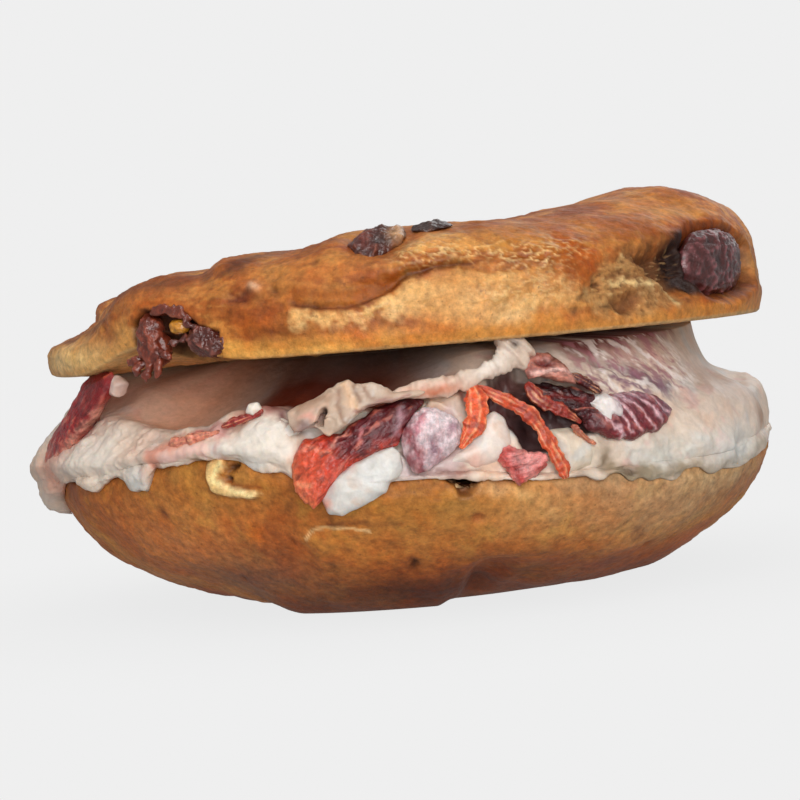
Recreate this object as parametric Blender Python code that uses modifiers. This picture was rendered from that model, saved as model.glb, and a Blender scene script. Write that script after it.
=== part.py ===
"""A bagel sandwich: a fruited bagel, split and filled with soft cheese and cut strawberries.

Metres, +Z up. The bagel stands on z = 0 with its hole on the Z axis, and its front looks along -Y.
Angles are degrees round the Z axis from +X, so the front is at 270 and the left end at 180.
"""

import math

import bmesh
import bpy
from mathutils import Matrix, Vector, noise

MM = 0.001

# Driving sizes of the bagel
LOWER_RADIUS = 52.8 * MM
UPPER_RADIUS = 53.3 * MM
HOLE_RADIUS = 9.5 * MM
LOWER_HEIGHT = 19.5 * MM
FILLING_DEPTH = 17.0 * MM
UPPER_HEIGHT = 16.6 * MM
UNDERSIDE = LOWER_HEIGHT + FILLING_DEPTH

# The lower half's flat foot and round belly
FLAT_INNER = 15.5 * MM
FLAT_OUTER = 26.0 * MM
FOOT_RADIUS = 34.0 * MM
BELLY_HEIGHT = 17.0 * MM
BELLY_POWER = 1.36

# The upper half's shoulder
CREST_RADIUS = 35.0 * MM
SHOULDER_START = 5.0 * MM
SHOULDER_POWER = 2.35

# How finely the solids are cut
RING_STEPS = 72
BELLY_STEPS = 6
SHOULDER_STEPS = 6
CHEESE_STEPS = 96
FRUIT_SEGMENTS = 10
FRUIT_RINGS = 6

CLEARANCE = 0.45 * MM

CRUST = ("crust", (0.40, 0.14, 0.04), 0.45)
CREAM = ("soft cheese", (0.80, 0.62, 0.53), 0.40)
STRAWBERRY = ("strawberry", (0.40, 0.05, 0.03), 0.30)
RAISIN = ("raisin", (0.07, 0.02, 0.015), 0.35)
SULTANA = ("sultana", (0.37, 0.13, 0.02), 0.30)


# Small tools


def swell(degrees, centre, half_width):
    """1 at the centre angle, falling smoothly to 0 at half_width either side of it."""
    away = abs((degrees - centre + 180) % 360 - 180)
    return 0.0 if away >= half_width else (1 + math.cos(math.pi * away / half_width)) / 2


def ease(value, low, high):
    """0 below low, 1 above high, and smooth between them."""
    share = min(1.0, max(0.0, (value - low) / (high - low)))
    return share * share * (3 - 2 * share)


def round_the_ring(anchors):
    """A smooth function of the angle through (degrees, value) anchors, closed after 360."""
    closed = anchors + [(anchors[0][0] + 360, anchors[0][1])]

    def value_at(degrees):
        degrees = (degrees - closed[0][0]) % 360 + closed[0][0]
        for (start, low), (end, high) in zip(closed, closed[1:]):
            if degrees <= end:
                return low + (high - low) * ease(degrees, start, end)
        return closed[-1][1]

    return value_at


def place(degrees, radius, height):
    """The point at that angle, distance from the axis and height."""
    turn = math.radians(degrees)
    return Vector((radius * math.cos(turn), radius * math.sin(turn), height))


def lumps(point, size):
    """Smooth noise between about -1 and 1, in lumps of that size."""
    return noise.noise(point / size)


def as_mesh(obj):
    """Replaces a curve, or a mesh with modifiers, by the plain mesh that it makes."""
    graph = bpy.context.evaluated_depsgraph_get()
    mesh = bpy.data.meshes.new_from_object(obj.evaluated_get(graph))
    name, matrix = obj.name, obj.matrix_world.copy()
    for collection in list(obj.users_collection):
        collection.objects.unlink(obj)
    bpy.data.objects.remove(obj)
    made = bpy.data.objects.new(name, mesh)
    made.matrix_world = matrix
    PARTS.objects.link(made)
    shape = bmesh.new()
    shape.from_mesh(mesh)
    bmesh.ops.remove_doubles(shape, verts=shape.verts, dist=0.00001)
    bmesh.ops.recalc_face_normals(shape, faces=shape.faces)
    shape.to_mesh(mesh)
    shape.free()
    return made


def turned(name, profile, steps, closed):
    """The (radius, height) profile turned once round the Z axis."""
    mesh = bpy.data.meshes.new(name)
    edges = [(k, k + 1) for k in range(len(profile) - 1)]
    if closed:
        edges.append((len(profile) - 1, 0))
    mesh.from_pydata([(radius, 0, height) for radius, height in profile], edges, [])
    obj = bpy.data.objects.new(name, mesh)
    PARTS.objects.link(obj)
    screw = obj.modifiers.new("turn", "SCREW")
    screw.steps = screw.render_steps = steps
    screw.use_merge_vertices = True
    screw.merge_threshold = 0.00001
    return as_mesh(obj)


def reshape(obj, rule):
    """Moves each point by rule(degrees, radius, height), which returns the new radius and height."""
    for vertex in obj.data.vertices:
        x, y, height = vertex.co
        degrees = math.degrees(math.atan2(y, x)) % 360
        radius, height = rule(degrees, math.hypot(x, y), height)
        vertex.co = place(degrees, radius, height)
    return obj


def finish(obj, kind, smooth_angle=40):
    """Gives the piece its material and soft shading."""
    name, colour, roughness = kind
    material = bpy.data.materials.get(name) or bpy.data.materials.new(name)
    material.use_nodes = True
    shader = material.node_tree.nodes["Principled BSDF"]
    shader.inputs["Base Color"].default_value = (*colour, 1)
    shader.inputs["Roughness"].default_value = roughness
    shader.inputs["Metallic"].default_value = 0
    obj.data.materials.clear()
    obj.data.materials.append(material)
    obj.data.shade_smooth()
    obj.data.set_sharp_from_angle(angle=math.radians(smooth_angle))
    return obj


def in_triangles(obj):
    """Splits every face into triangles, so that the piece and its cutter bend alike."""
    shape = bmesh.new()
    shape.from_mesh(obj.data)
    bmesh.ops.triangulate(shape, faces=shape.faces)
    shape.to_mesh(obj.data)
    shape.free()
    return obj


def as_cutter(obj, collection):
    """Hides a copy of the piece, grown evenly by the clearance, in a collection of cutters."""
    copy = bpy.data.objects.new(obj.name + ".cutter", obj.data.copy())
    copy.matrix_world = obj.matrix_world
    shape = bmesh.new()
    shape.from_mesh(copy.data)
    shape.normal_update()
    grown = [vertex.co + vertex.normal * CLEARANCE * vertex.calc_shell_factor() for vertex in shape.verts]
    for vertex, spot in zip(shape.verts, grown):
        vertex.co = spot
    shape.to_mesh(copy.data)
    shape.free()
    copy.hide_render = True
    copy.display_type = "WIRE"
    collection.objects.link(copy)
    return copy


def cut_with(obj, collection, operation="DIFFERENCE"):
    """Cuts every object of the collection from the piece, or joins them to it."""
    cut = obj.modifiers.new(operation.lower(), "BOOLEAN")
    cut.operation = operation
    cut.operand_type = "COLLECTION"
    cut.collection = collection
    cut.solver = "EXACT"
    return obj


def new_collection(name, inside):
    made = bpy.data.collections.new(name)
    inside.children.link(made)
    return made


# The lower half

cut_height = round_the_ring(
    [
        (0, 19.6 * MM),
        (50, 19.0 * MM),
        (95, 20.2 * MM),
        (140, 19.0 * MM),
        (180, 19.6 * MM),
        (215, 21.4 * MM),
        (241, 22.8 * MM),
        (254, 20.2 * MM),
        (270, 19.6 * MM),
        (292, 17.9 * MM),
        (318, 17.4 * MM),
        (342, 19.2 * MM),
    ]
)

# How far the rim of the foot is lifted off the table: the dough was rolled and joined in lobes
foot_lift = round_the_ring(
    [
        (0, 0.8 * MM),
        (40, 0.2 * MM),
        (62, 1.6 * MM),
        (90, 0.0 * MM),
        (140, 0.4 * MM),
        (170, 1.4 * MM),
        (195, 1.8 * MM),
        (217, 2.0 * MM),
        (229, 1.3 * MM),
        (240, 0.0 * MM),
        (272, 0.1 * MM),
        (280, 2.0 * MM),
        (290, 1.0 * MM),
        (312, 0.9 * MM),
        (336, 0.8 * MM),
    ]
)
LIFT_TOP = 9.0 * MM


def lower_profile():
    """The section of the lower half: cut face, round belly, flat foot and the wall of the hole."""
    cut_face = [(HOLE_RADIUS, LOWER_HEIGHT), (40 * MM, LOWER_HEIGHT)]
    belly = [(LOWER_RADIUS, LOWER_HEIGHT)]
    reach = LOWER_RADIUS - FOOT_RADIUS
    for k in range(BELLY_STEPS + 1):
        drop = math.sin(math.pi / 2 * k / BELLY_STEPS)
        height = BELLY_HEIGHT * (1 - drop)
        belly.append((FOOT_RADIUS + reach * (1 - drop**BELLY_POWER) ** (1 / BELLY_POWER), height))
    foot = [(FLAT_OUTER, 0), (FLAT_INNER, 0), (HOLE_RADIUS + 1.5 * MM, 3.5 * MM), (HOLE_RADIUS, 9 * MM)]
    return cut_face + belly + foot


def lower_shape(degrees, radius, height):
    """The uneven cut, the lumpy side and the lobed foot of a hand-rolled bagel."""
    share = height / LOWER_HEIGHT
    outward = ease(radius, 14 * MM, 48 * MM)
    top = LOWER_HEIGHT + (cut_height(degrees) - LOWER_HEIGHT) * outward
    lift = foot_lift(degrees) * (1 - ease(height, 1 * MM, LIFT_TOP)) * ease(radius, FLAT_OUTER, FOOT_RADIUS)
    lump = lumps(place(degrees, radius, height * 1.5), 19 * MM)
    side = ease(radius, 36 * MM, 50 * MM) * ease(height, 0.5 * MM, 5 * MM)
    return radius + 0.8 * MM * lump * side - 0.5 * lift, share * top + lift


def flake(collection):
    """The torn curl of crust under the rim at the front left, as a raised ridge."""
    ridge = [(238.8, 21.6), (240.0, 20.4), (241.2, 19.2), (243.5, 18.3), (246.4, 18.0)]
    curve = bpy.data.curves.new("flake", "CURVE")
    curve.dimensions = "3D"
    curve.bevel_depth = 0.8 * MM
    curve.bevel_resolution = 1
    curve.use_fill_caps = True
    spline = curve.splines.new("POLY")
    spline.points.add(len(ridge) - 1)
    for point, (degrees, height) in zip(spline.points, ridge):
        point.co = (*place(degrees, belly_radius(height * MM) - 0.1 * MM, height * MM), 1)
    spline.points[0].radius = 0.6
    spline.points[-1].radius = 0.5
    obj = bpy.data.objects.new("flake", curve)
    PARTS.objects.link(obj)
    obj = as_mesh(obj)
    PARTS.objects.unlink(obj)
    collection.objects.link(obj)
    obj.hide_render = True
    obj.display_type = "WIRE"


def belly_radius(height):
    """The lower half's outer radius at a height."""
    drop = min(1.0, max(0.0, 1 - height / BELLY_HEIGHT))
    reach = LOWER_RADIUS - FOOT_RADIUS
    return FOOT_RADIUS + reach * (1 - drop**BELLY_POWER) ** (1 / BELLY_POWER)


# The upper half

crest_height = round_the_ring(
    [
        (0, 19.3 * MM),
        (30, 17.2 * MM),
        (60, 15.6 * MM),
        (90, 15.4 * MM),
        (120, 14.6 * MM),
        (150, 13.0 * MM),
        (180, 12.4 * MM),
        (212, 12.0 * MM),
        (226, 12.4 * MM),
        (240, 14.8 * MM),
        (256, 15.2 * MM),
        (272, 15.8 * MM),
        (300, 15.8 * MM),
        (320, 17.6 * MM),
        (342, 19.4 * MM),
    ]
)

# The thin lip at the left end, where the crust drops to the cut
LIP_ANGLE = 178
LIP_HALF_WIDTH = 44
LIP_REACH = 7.4 * MM
LIP_HEIGHT = 4.2 * MM

# How far the left end sags towards the filling
SAG = 1.1 * MM
SAG_ANGLE = 200
SAG_HALF_WIDTH = 50

# The fold along the front, where the skin overhangs the paler side
FOLD_HEIGHT = 8.2 * MM
FOLD_DEPTH = 1.1 * MM


def underside(degrees, radius):
    """The height of the upper half's cut face."""
    return UNDERSIDE - SAG * swell(degrees, SAG_ANGLE, SAG_HALF_WIDTH) * ease(radius, 30 * MM, 48 * MM)


def upper_profile():
    """The section of the upper half, with height 0 at the cut face."""
    wall = [(UPPER_RADIUS - 0.4 * MM, 0), (UPPER_RADIUS, 2.0 * MM)]
    shoulder = []
    for k in range(SHOULDER_STEPS + 1):
        rise = math.sin(math.pi / 2 * k / SHOULDER_STEPS)
        reach = (UPPER_RADIUS - CREST_RADIUS) * (1 - rise**SHOULDER_POWER) ** (1 / SHOULDER_POWER)
        height = SHOULDER_START + (UPPER_HEIGHT - SHOULDER_START) * rise
        shoulder.append((CREST_RADIUS + reach, height))
    hole = [(24 * MM, 16.2 * MM), (16.5 * MM, 14.0 * MM), (11.5 * MM, 9.5 * MM), (HOLE_RADIUS, 4 * MM)]
    cut_face = [(HOLE_RADIUS, 0), (40 * MM, 0)]
    outline = wall + shoulder + hole + cut_face
    return outline[::-1]


def fold_line(degrees):
    """The height of the front fold above the cut: it climbs from left to right."""
    return FOLD_HEIGHT + 0.055 * MM * (degrees - 270)


def upper_shape(degrees, radius, height):
    """The leaning crest, the thin lip, the fold along the front and the lumps of the crust."""
    height *= crest_height(degrees) / UPPER_HEIGHT
    base = underside(degrees, radius)
    outer = ease(radius, 30 * MM, 48 * MM)
    above_lip = ease(height, LIP_HEIGHT - 0.4 * MM, LIP_HEIGHT + 1.4 * MM)
    radius -= LIP_REACH * swell(degrees, LIP_ANGLE, LIP_HALF_WIDTH) ** 0.6 * above_lip * outer
    fold = math.exp(-(((height - fold_line(degrees)) / (1.3 * MM)) ** 2))
    radius -= FOLD_DEPTH * fold * swell(degrees, 268, 26) * outer
    lump = lumps(place(degrees, radius, height * 1.5) + Vector((0.3, 0, 0)), 15 * MM)
    radius += 0.8 * MM * lump * outer * ease(height, 0.5 * MM, 4 * MM)
    height += 0.7 * MM * lump * ease(height, 6 * MM, 12 * MM)
    return radius, height + base


def tear(collection):
    """The cutter for the ragged tear in the crust beside the right-hand raisin."""
    lobes = [
        (304.0, 51.0, 42.2, 5.0, 2.0, 1.5),
        (309.5, 51.2, 43.6, 4.8, 3.0, 2.6),
        (315.5, 50.0, 45.4, 4.6, 3.6, 2.4),
        (312.5, 50.4, 40.4, 4.2, 2.6, 1.4),
    ]
    for k, (degrees, radius, height, along, deep, tall) in enumerate(lobes):
        obj = blob(f"tear.{k}", degrees, radius * MM, height * MM, (along, deep, tall), 20, 0.18, 8, 5)
        PARTS.objects.unlink(obj)
        collection.objects.link(obj)
        obj.hide_render = True
        obj.display_type = "WIRE"


# Fruit, and the other small pieces


def blob(name, degrees, radius, height, half_sizes, lean, roughness, segments=FRUIT_SEGMENTS, rings=FRUIT_RINGS):
    """A lumpy rounded piece set in the side of the sandwich.

    half_sizes are mm along the rim, in depth, and upwards. lean turns it anticlockwise, seen from
    outside, in degrees.
    """
    bpy.ops.mesh.primitive_uv_sphere_add(segments=segments, ring_count=rings, radius=1)
    obj = bpy.context.object
    obj.name = name
    for collection in list(obj.users_collection):
        collection.objects.unlink(obj)
    PARTS.objects.link(obj)
    along, deep, tall = (size * MM for size in half_sizes)
    seed = Vector((degrees, height / MM, radius / MM)) * 0.37
    for vertex in obj.data.vertices:
        bumpy = 1 + roughness * noise.noise(vertex.co * 1.7 + seed)
        bumpy += roughness * 0.6 * noise.noise(vertex.co * 3.9 - seed)
        vertex.co *= bumpy
    outward = place(degrees, 1, 0)
    sideways = place(degrees - 90, 1, 0)
    axes = Matrix((sideways, outward, Vector((0, 0, 1)))).transposed().to_4x4()
    turn = Matrix.Rotation(math.radians(lean), 4, outward)
    size = Matrix.Diagonal((along, deep, tall, 1))
    obj.data.transform(Matrix.Translation(place(degrees, radius, height)) @ turn @ axes @ size)
    return in_triangles(obj)


def strip(name, route, half_width, half_thickness):
    """A thin shred of fruit that follows (degrees, radius, height) points, widest in the middle."""
    curve = bpy.data.curves.new(name, "CURVE")
    curve.dimensions = "3D"
    curve.bevel_depth = half_width * MM
    curve.bevel_resolution = 1
    curve.use_fill_caps = True
    spline = curve.splines.new("POLY")
    spline.points.add(len(route) - 1)
    last = len(route) - 1
    for k, (degrees, radius, height) in enumerate(route):
        spline.points[k].co = (*place(degrees, radius * MM, height * MM), 1)
        spline.points[k].radius = 0.55 + 0.45 * math.sin(math.pi * (0.1 + 0.8 * k / last))
    obj = bpy.data.objects.new(name, curve)
    PARTS.objects.link(obj)
    obj = as_mesh(obj)
    middle = route[last // 2]
    outward = place(middle[0], 1, 0)
    centre = place(middle[0], middle[1] * MM, middle[2] * MM)
    squeeze = half_thickness / half_width
    for vertex in obj.data.vertices:
        nearest = min(route, key=lambda p: (place(p[0], p[1] * MM, p[2] * MM) - vertex.co).length)
        spine = place(nearest[0], nearest[1] * MM, nearest[2] * MM)
        out_by = (vertex.co - spine).dot(outward)
        vertex.co -= outward * out_by * (1 - squeeze)
    return in_triangles(obj)


# Pieces of strawberry: angle, radius, height, half sizes (along, deep, tall) in mm, lean in degrees
STRAWBERRIES = {
    "strawberry_left": (197, 50.6, 27.6, (8.2, 2.6, 2.0), 50),
    "strawberry_front": (259.8, 49.8, 26.0, (8.8, 3.2, 3.8), 25),
    "strawberry_coated": (273.2, 49.8, 25.6, (2.8, 2.4, 4.4), -14),
    "strawberry_dark": (291.8, 48.6, 28.5, (6.3, 2.6, 2.5), -26),
    "strawberry_rib": (292.6, 48.2, 34.0, (3.2, 1.6, 1.1), -16),
    "strawberry_right": (305.6, 49.2, 25.4, (5.2, 3.0, 3.0), -12),
    "strawberry_jelly": (285.6, 50.6, 21.6, (2.8, 1.6, 1.6), 12),
    "strawberry_far_right": (32, 49.2, 27.4, (7.0, 3.0, 3.2), 12),
    "strawberry_back_right": (64, 48.8, 27.2, (7.6, 3.2, 3.4), -16),
    "strawberry_back": (103, 48.8, 28.2, (7.4, 3.2, 4.2), 20),
    "strawberry_back_left": (146, 48.6, 27.4, (8.4, 3.0, 3.6), 14),
}

# Shreds of strawberry: route, half width, half thickness in mm
SHREDS = {
    "shred_upright": ([(280.4, 50.4, 30.4), (279.4, 51.4, 28.0), (278.4, 51.8, 25.6), (277.4, 51.6, 23.2)], 1.15, 0.8),
    "shred_long": (
        [(282.4, 51.0, 29.8), (285.4, 51.4, 27.2), (288.8, 51.6, 24.8), (290.2, 52.0, 22.2), (290.8, 52.4, 19.6)],
        1.1,
        0.8,
    ),
    "shred_short": ([(294.5, 51.0, 31.0), (297.0, 51.4, 29.6), (299.4, 51.4, 28.2)], 1.0, 0.7),
    "shred_left": ([(231.0, 51.6, 25.4), (236.0, 52.2, 26.6), (241.0, 52.2, 27.4)], 0.9, 0.7),
}

# Dried fruit: which half, angle, radius, height, half sizes in mm, lean, kind
RAISINS = {
    "raisin_left": ("upper", 228.4, 51.6, 38.8, (2.5, 2.6, 3.6), -6, RAISIN),
    "raisin_left_inner": ("upper", 240.6, 52.0, 39.4, (3.6, 2.4, 2.3), 8, RAISIN),
    "raisin_left_arch": ("upper", 235.2, 52.0, 43.4, (3.7, 1.8, 1.0), 6, RAISIN),
    "sultana_left": ("upper", 233.8, 51.8, 40.8, (1.6, 1.6, 0.9), 0, SULTANA),
    "raisin_crest": ("upper", 266.6, 45.6, 49.8, (5.2, 3.6, 2.8), 6, RAISIN),
    "raisin_crest_small": ("upper", 276.4, 42.6, 51.6, (2.8, 1.6, 1.1), 6, RAISIN),
    "raisin_right": ("upper", 325.4, 50.8, 44.4, (5.6, 3.2, 4.1), 6, RAISIN),
    "raisin_back_top": ("upper", 96.0, 34.0, 51.4, (4.8, 3.6, 2.2), 0, RAISIN),
    "raisin_back_side": ("upper", 52.0, 51.6, 44.0, (4.6, 2.8, 3.2), 10, RAISIN),
    "raisin_left_top": ("upper", 152.0, 30.0, 48.8, (4.4, 3.6, 2.0), 0, RAISIN),
    "raisin_lower_back": ("lower", 112.0, 48.2, 10.8, (4.6, 2.8, 3.0), -8, RAISIN),
}


# The filling

# Sections through the cheese where it fills the gap to the top, where it is hollow under the upper half
# and where it stands back in a step: mm from the axis, and share of the way up to the upper half
FULL_SIDE = [(53.2, 0.02), (53.6, 0.16), (52.4, 0.34), (51.2, 0.52), (50.2, 0.68), (48.6, 0.82), (46.4, 0.97)]
HOLLOW_SIDE = [(53.4, 0.02), (54.0, 0.14), (52.8, 0.28), (51.4, 0.41), (50.0, 0.53), (45.0, 0.55), (38.0, 0.70)]
STEPPED_SIDE = [(52.6, 0.02), (52.6, 0.14), (51.4, 0.31), (47.6, 0.41), (44.8, 0.56), (43.4, 0.78), (42.8, 0.96)]
FULL_TOP = [(36.0, 1.0), (8.4, 1.0), (0.0, 1.0)]
HOLLOW_TOP = [(34.0, 0.94), (8.4, 1.0), (0.0, 1.0)]
BOTTOM = [(0.0, 0.0), (8.4, 0.0), (40.0, 0.0)]

# How hollow it is, by angle, and how far its side bulges, in mm, with the share of that at each level
hollow = round_the_ring(
    [(0, 0.0), (50, 0.5), (95, 0.1), (148, 0.6), (172, 0.0), (190, 0.0), (208, 0.5), (224, 1.0), (262, 1.0), (284, 0.15), (330, 0.1)]
)
bulge = round_the_ring(
    [(0, 0.2), (40, 1.2), (85, -0.6), (130, 1.0), (160, 1.4), (181, 4.6), (205, 1.2), (228, 0.0), (262, 0.6), (292, -0.8), (325, 0.3)]
)
BULGE_SHARES = (0.8, 0.9, 0.7, 0.5, 0.35, 0.25, 0.2)
STEP_ANGLE = 356
STEP_HALF_WIDTH = 62

# How far the cheese hangs down over the lower rim: angle, half width, mm
DRIPS = [
    (259, 8, 3.8),
    (224, 5, 3.0),
    (213, 5, 2.0),
    (184, 16, 5.2),
    (246, 6, 1.4),
    (307, 9, 2.0),
    (334, 12, 2.8),
    (52, 9, 4.4),
    (92, 8, 2.2),
    (126, 11, 3.6),
]
LEAST_DRIP = 0.5
DRIP_THICKNESS = 1.5
DIMPLE = 2.0 * MM
CRAG_HEIGHT = 1.2 * MM


def filling_profile():
    """A plain section of the filling, whose points filling_shape moves: bottom, drip, side and top."""
    drip = [(53.0, -1.0), (53.2, -3.0), (53.5, -5.0), (54.5, -4.0)]
    side = [(55.0, 1.0 + 2.0 * k) for k in range(len(FULL_SIDE))]
    top = [(radius, 17.0) for radius, share in FULL_TOP]
    return [(radius * MM, height * MM) for radius, height in BOTTOM + drip + side + top]


def lower_side(degrees, height):
    """The distance from the axis to the lower half's side at a height."""
    plain = height * LOWER_HEIGHT / cut_height(degrees)
    return lower_shape(degrees, belly_radius(plain), plain)[0]


def filling_shape(degrees, radius, height):
    """The cheese between the cut faces: craggy side, hollow front left, drips over the rim."""
    gap = CLEARANCE + 0.1 * MM
    cut = cut_height(degrees)
    flat = LOWER_HEIGHT + gap
    low = cut + gap
    drip = LEAST_DRIP + sum(length * swell(degrees, angle, width) for angle, width, length in DRIPS)
    if height == 0:
        level = flat + (low - flat) * ease(radius, 14 * MM, 48 * MM)
        return radius, level - (DIMPLE if radius < 5 * MM else 0)
    if height < 0:
        down = {-1: 0.0, -3: 0.5, -5: 1.0, -4: 0.9}[round(height / MM)]
        level = low - down * drip * MM
        out = lower_side(degrees, min(level, cut - 0.2 * MM)) + gap
        thick = (DRIP_THICKNESS + 0.6 * max(0, bulge(degrees))) * (0.35 + 0.65 * min(1, drip / 2.5))
        return out + (thick * MM if radius > 54 * MM else 0), level
    stepped = swell(degrees, STEP_ANGLE, STEP_HALF_WIDTH)
    if radius > 54.6 * MM:
        k = round((height / MM - 1) / 2)
        mm, share = mixed(FULL_SIDE[k], (HOLLOW_SIDE[k], hollow(degrees)), (STEPPED_SIDE[k], stepped))
        mm += bulge(degrees) * BULGE_SHARES[k]
        spot = place(degrees, mm * MM, share * FILLING_DEPTH)
        crag = lumps(spot, 8.0 * MM) + 0.6 * lumps(spot, 3.6 * MM)
        high = underside(degrees, mm * MM) - gap
        level = low + share * (high - low) + 0.5 * CRAG_HEIGHT * crag * (0 if k in (0, 6) else 1)
        rim = lower_side(degrees, cut - 0.2 * MM) + gap + 0.6 * MM
        return max(mm * MM + CRAG_HEIGHT * crag, rim if k == 0 else 0), min(level, high)
    at = min(range(len(FULL_TOP)), key=lambda k: abs(FULL_TOP[k][0] * MM - radius))
    mm, share = mixed(FULL_TOP[at], (HOLLOW_TOP[at], hollow(degrees)))
    high = underside(degrees, mm * MM) - gap
    return mm * MM, low + share * (high - low) + (DIMPLE if at == 2 else 0)


def mixed(plain, *others):
    """The plain pair of numbers, moved towards each other pair by its share."""
    return [value + sum(share * (pair[k] - value) for pair, share in others) for k, value in enumerate(plain)]


def largest_piece(obj):
    """Keeps the piece's one largest body and drops loose scraps."""
    shape = bmesh.new()
    shape.from_mesh(obj.data)
    left = set(shape.verts)
    bodies = []
    while left:
        body, edge = set(), [left.pop()]
        while edge:
            vertex = edge.pop()
            body.add(vertex)
            for link in vertex.link_edges:
                other = link.other_vert(vertex)
                if other in left:
                    left.remove(other)
                    edge.append(other)
        bodies.append(body)
    bodies.sort(key=len)
    for body in bodies[:-1]:
        bmesh.ops.delete(shape, geom=list(body), context="VERTS")
    shape.to_mesh(obj.data)
    shape.free()
    return obj


# The whole sandwich


def stand_on_origin():
    """Moves the whole sandwich so that the middle of its foot print is at the origin."""
    graph = bpy.context.evaluated_depsgraph_get()
    spots = [v.co for obj in PARTS.objects for v in obj.evaluated_get(graph).data.vertices]
    middle = [(min(spot[k] for spot in spots) + max(spot[k] for spot in spots)) / 2 for k in range(2)]
    base = bpy.data.objects.new("base", None)
    base.empty_display_size = 0.03
    PARTS.objects.link(base)
    for obj in [*PARTS.objects, *CUTTERS.all_objects]:
        if obj != base:
            obj.parent = base
    base.location = (-middle[0], -middle[1], 0)


def build():
    lower = turned("lower_bagel", lower_profile(), RING_STEPS, True)
    reshape(lower, lower_shape)
    upper = turned("upper_bagel", upper_profile(), RING_STEPS, True)
    reshape(upper, upper_shape)
    filling = turned("soft_cheese", filling_profile(), CHEESE_STEPS, False)
    reshape(filling, filling_shape)

    from_filling = new_collection("cut from the cheese", CUTTERS)
    from_halves = {half: new_collection(f"cut from the {half} half", CUTTERS) for half in ("lower", "upper")}
    onto_lower = new_collection("joined to the lower half", CUTTERS)

    for name, (degrees, radius, height, half_sizes, lean) in STRAWBERRIES.items():
        piece = blob(name, degrees, radius * MM, height * MM, half_sizes, lean, 0.22)
        as_cutter(finish(piece, STRAWBERRY), from_filling)
    for name, (route, half_width, half_thickness) in SHREDS.items():
        piece = strip(name, route, half_width, half_thickness)
        as_cutter(finish(piece, STRAWBERRY), from_filling)
    for name, (half, degrees, radius, height, half_sizes, lean, kind) in RAISINS.items():
        piece = blob(name, degrees, radius * MM, height * MM, half_sizes, lean, 0.35)
        as_cutter(finish(piece, kind), from_halves[half])

    tear(from_halves["upper"])
    flake(onto_lower)
    cut_with(lower, onto_lower, "UNION")
    cut_with(lower, from_halves["lower"])
    cut_with(upper, from_halves["upper"])
    cut_with(filling, from_filling)
    for piece, kind in ((lower, CRUST), (upper, CRUST), (filling, CREAM)):
        finish(largest_piece(as_mesh(piece)), kind)
    stand_on_origin()


for old in list(bpy.data.objects):
    bpy.data.objects.remove(old)
PARTS = new_collection("bagel sandwich", bpy.context.scene.collection)
CUTTERS = new_collection("cutters", bpy.context.scene.collection)
build()
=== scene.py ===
"""Looks of the bagel sandwich: crust, soft cheese, cut strawberries and dried fruit.

Sizes are millimetres. Angles are degrees round the Z axis from +X, so the front is at 270, and heights
are above the table. The sandwich is shaped round its own hole, and set down on the frame at the end.
"""

import logging
import math
from dataclasses import dataclass, field
from enum import Enum

import bpy
import numpy as np
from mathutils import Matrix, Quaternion, Vector, noise


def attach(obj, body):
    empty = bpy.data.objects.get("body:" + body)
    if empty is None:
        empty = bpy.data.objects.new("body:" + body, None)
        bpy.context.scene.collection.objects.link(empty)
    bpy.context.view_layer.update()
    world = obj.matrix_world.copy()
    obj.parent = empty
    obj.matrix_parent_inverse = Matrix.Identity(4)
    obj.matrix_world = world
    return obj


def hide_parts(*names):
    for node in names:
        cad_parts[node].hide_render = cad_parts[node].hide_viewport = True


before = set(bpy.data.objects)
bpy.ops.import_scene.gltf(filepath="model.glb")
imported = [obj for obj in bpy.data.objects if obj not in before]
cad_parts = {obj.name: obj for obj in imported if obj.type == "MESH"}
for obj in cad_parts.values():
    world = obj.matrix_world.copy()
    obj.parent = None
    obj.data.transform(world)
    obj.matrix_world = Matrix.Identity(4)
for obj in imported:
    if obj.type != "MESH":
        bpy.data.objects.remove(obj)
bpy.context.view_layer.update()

logging.basicConfig(level=logging.INFO, format="%(message)s")
LOG = logging.getLogger("bagel")

MM = 0.001
# The middle of the sandwich's box lies this far from the axis of its hole
SET_DOWN = np.array([1.7598, 0.0979, 0.0])
# Lengths along the rim are measured at this distance from the axis
REACH = 52.0


Path = tuple[tuple[float, ...], ...]


# Numbers over arrays


def path(numbers: str) -> Path:
    """Reads points from text: numbers parted by spaces, points by commas."""
    return tuple(tuple(float(number) for number in point.split()) for point in numbers.split(","))


def ease(value: np.ndarray, low: float, high: float) -> np.ndarray:
    """Rises smoothly from 0 at low to 1 at high.

    Args:
        value: the numbers to look up.
        low: where the rise starts.
        high: where it ends.

    Returns:
        Shares between 0 and 1.
    """
    share = np.clip((value - low) / (high - low), 0, 1)
    return share * share * (3 - 2 * share)


def turned_by(degrees: np.ndarray, centre: float) -> np.ndarray:
    """The shortest turn from the centre angle, between -180 and 180."""
    return (degrees - centre + 180) % 360 - 180


def swell(degrees: np.ndarray, centre: float, half_width: float) -> np.ndarray:
    """A soft hump round one angle.

    Args:
        degrees: the angles to look up.
        centre: where the hump is 1.
        half_width: how far either side it reaches 0.

    Returns:
        Shares between 0 and 1.
    """
    away = np.abs(turned_by(degrees, centre))
    return np.where(away >= half_width, 0, (1 + np.cos(np.pi * away / half_width)) / 2)


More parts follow.
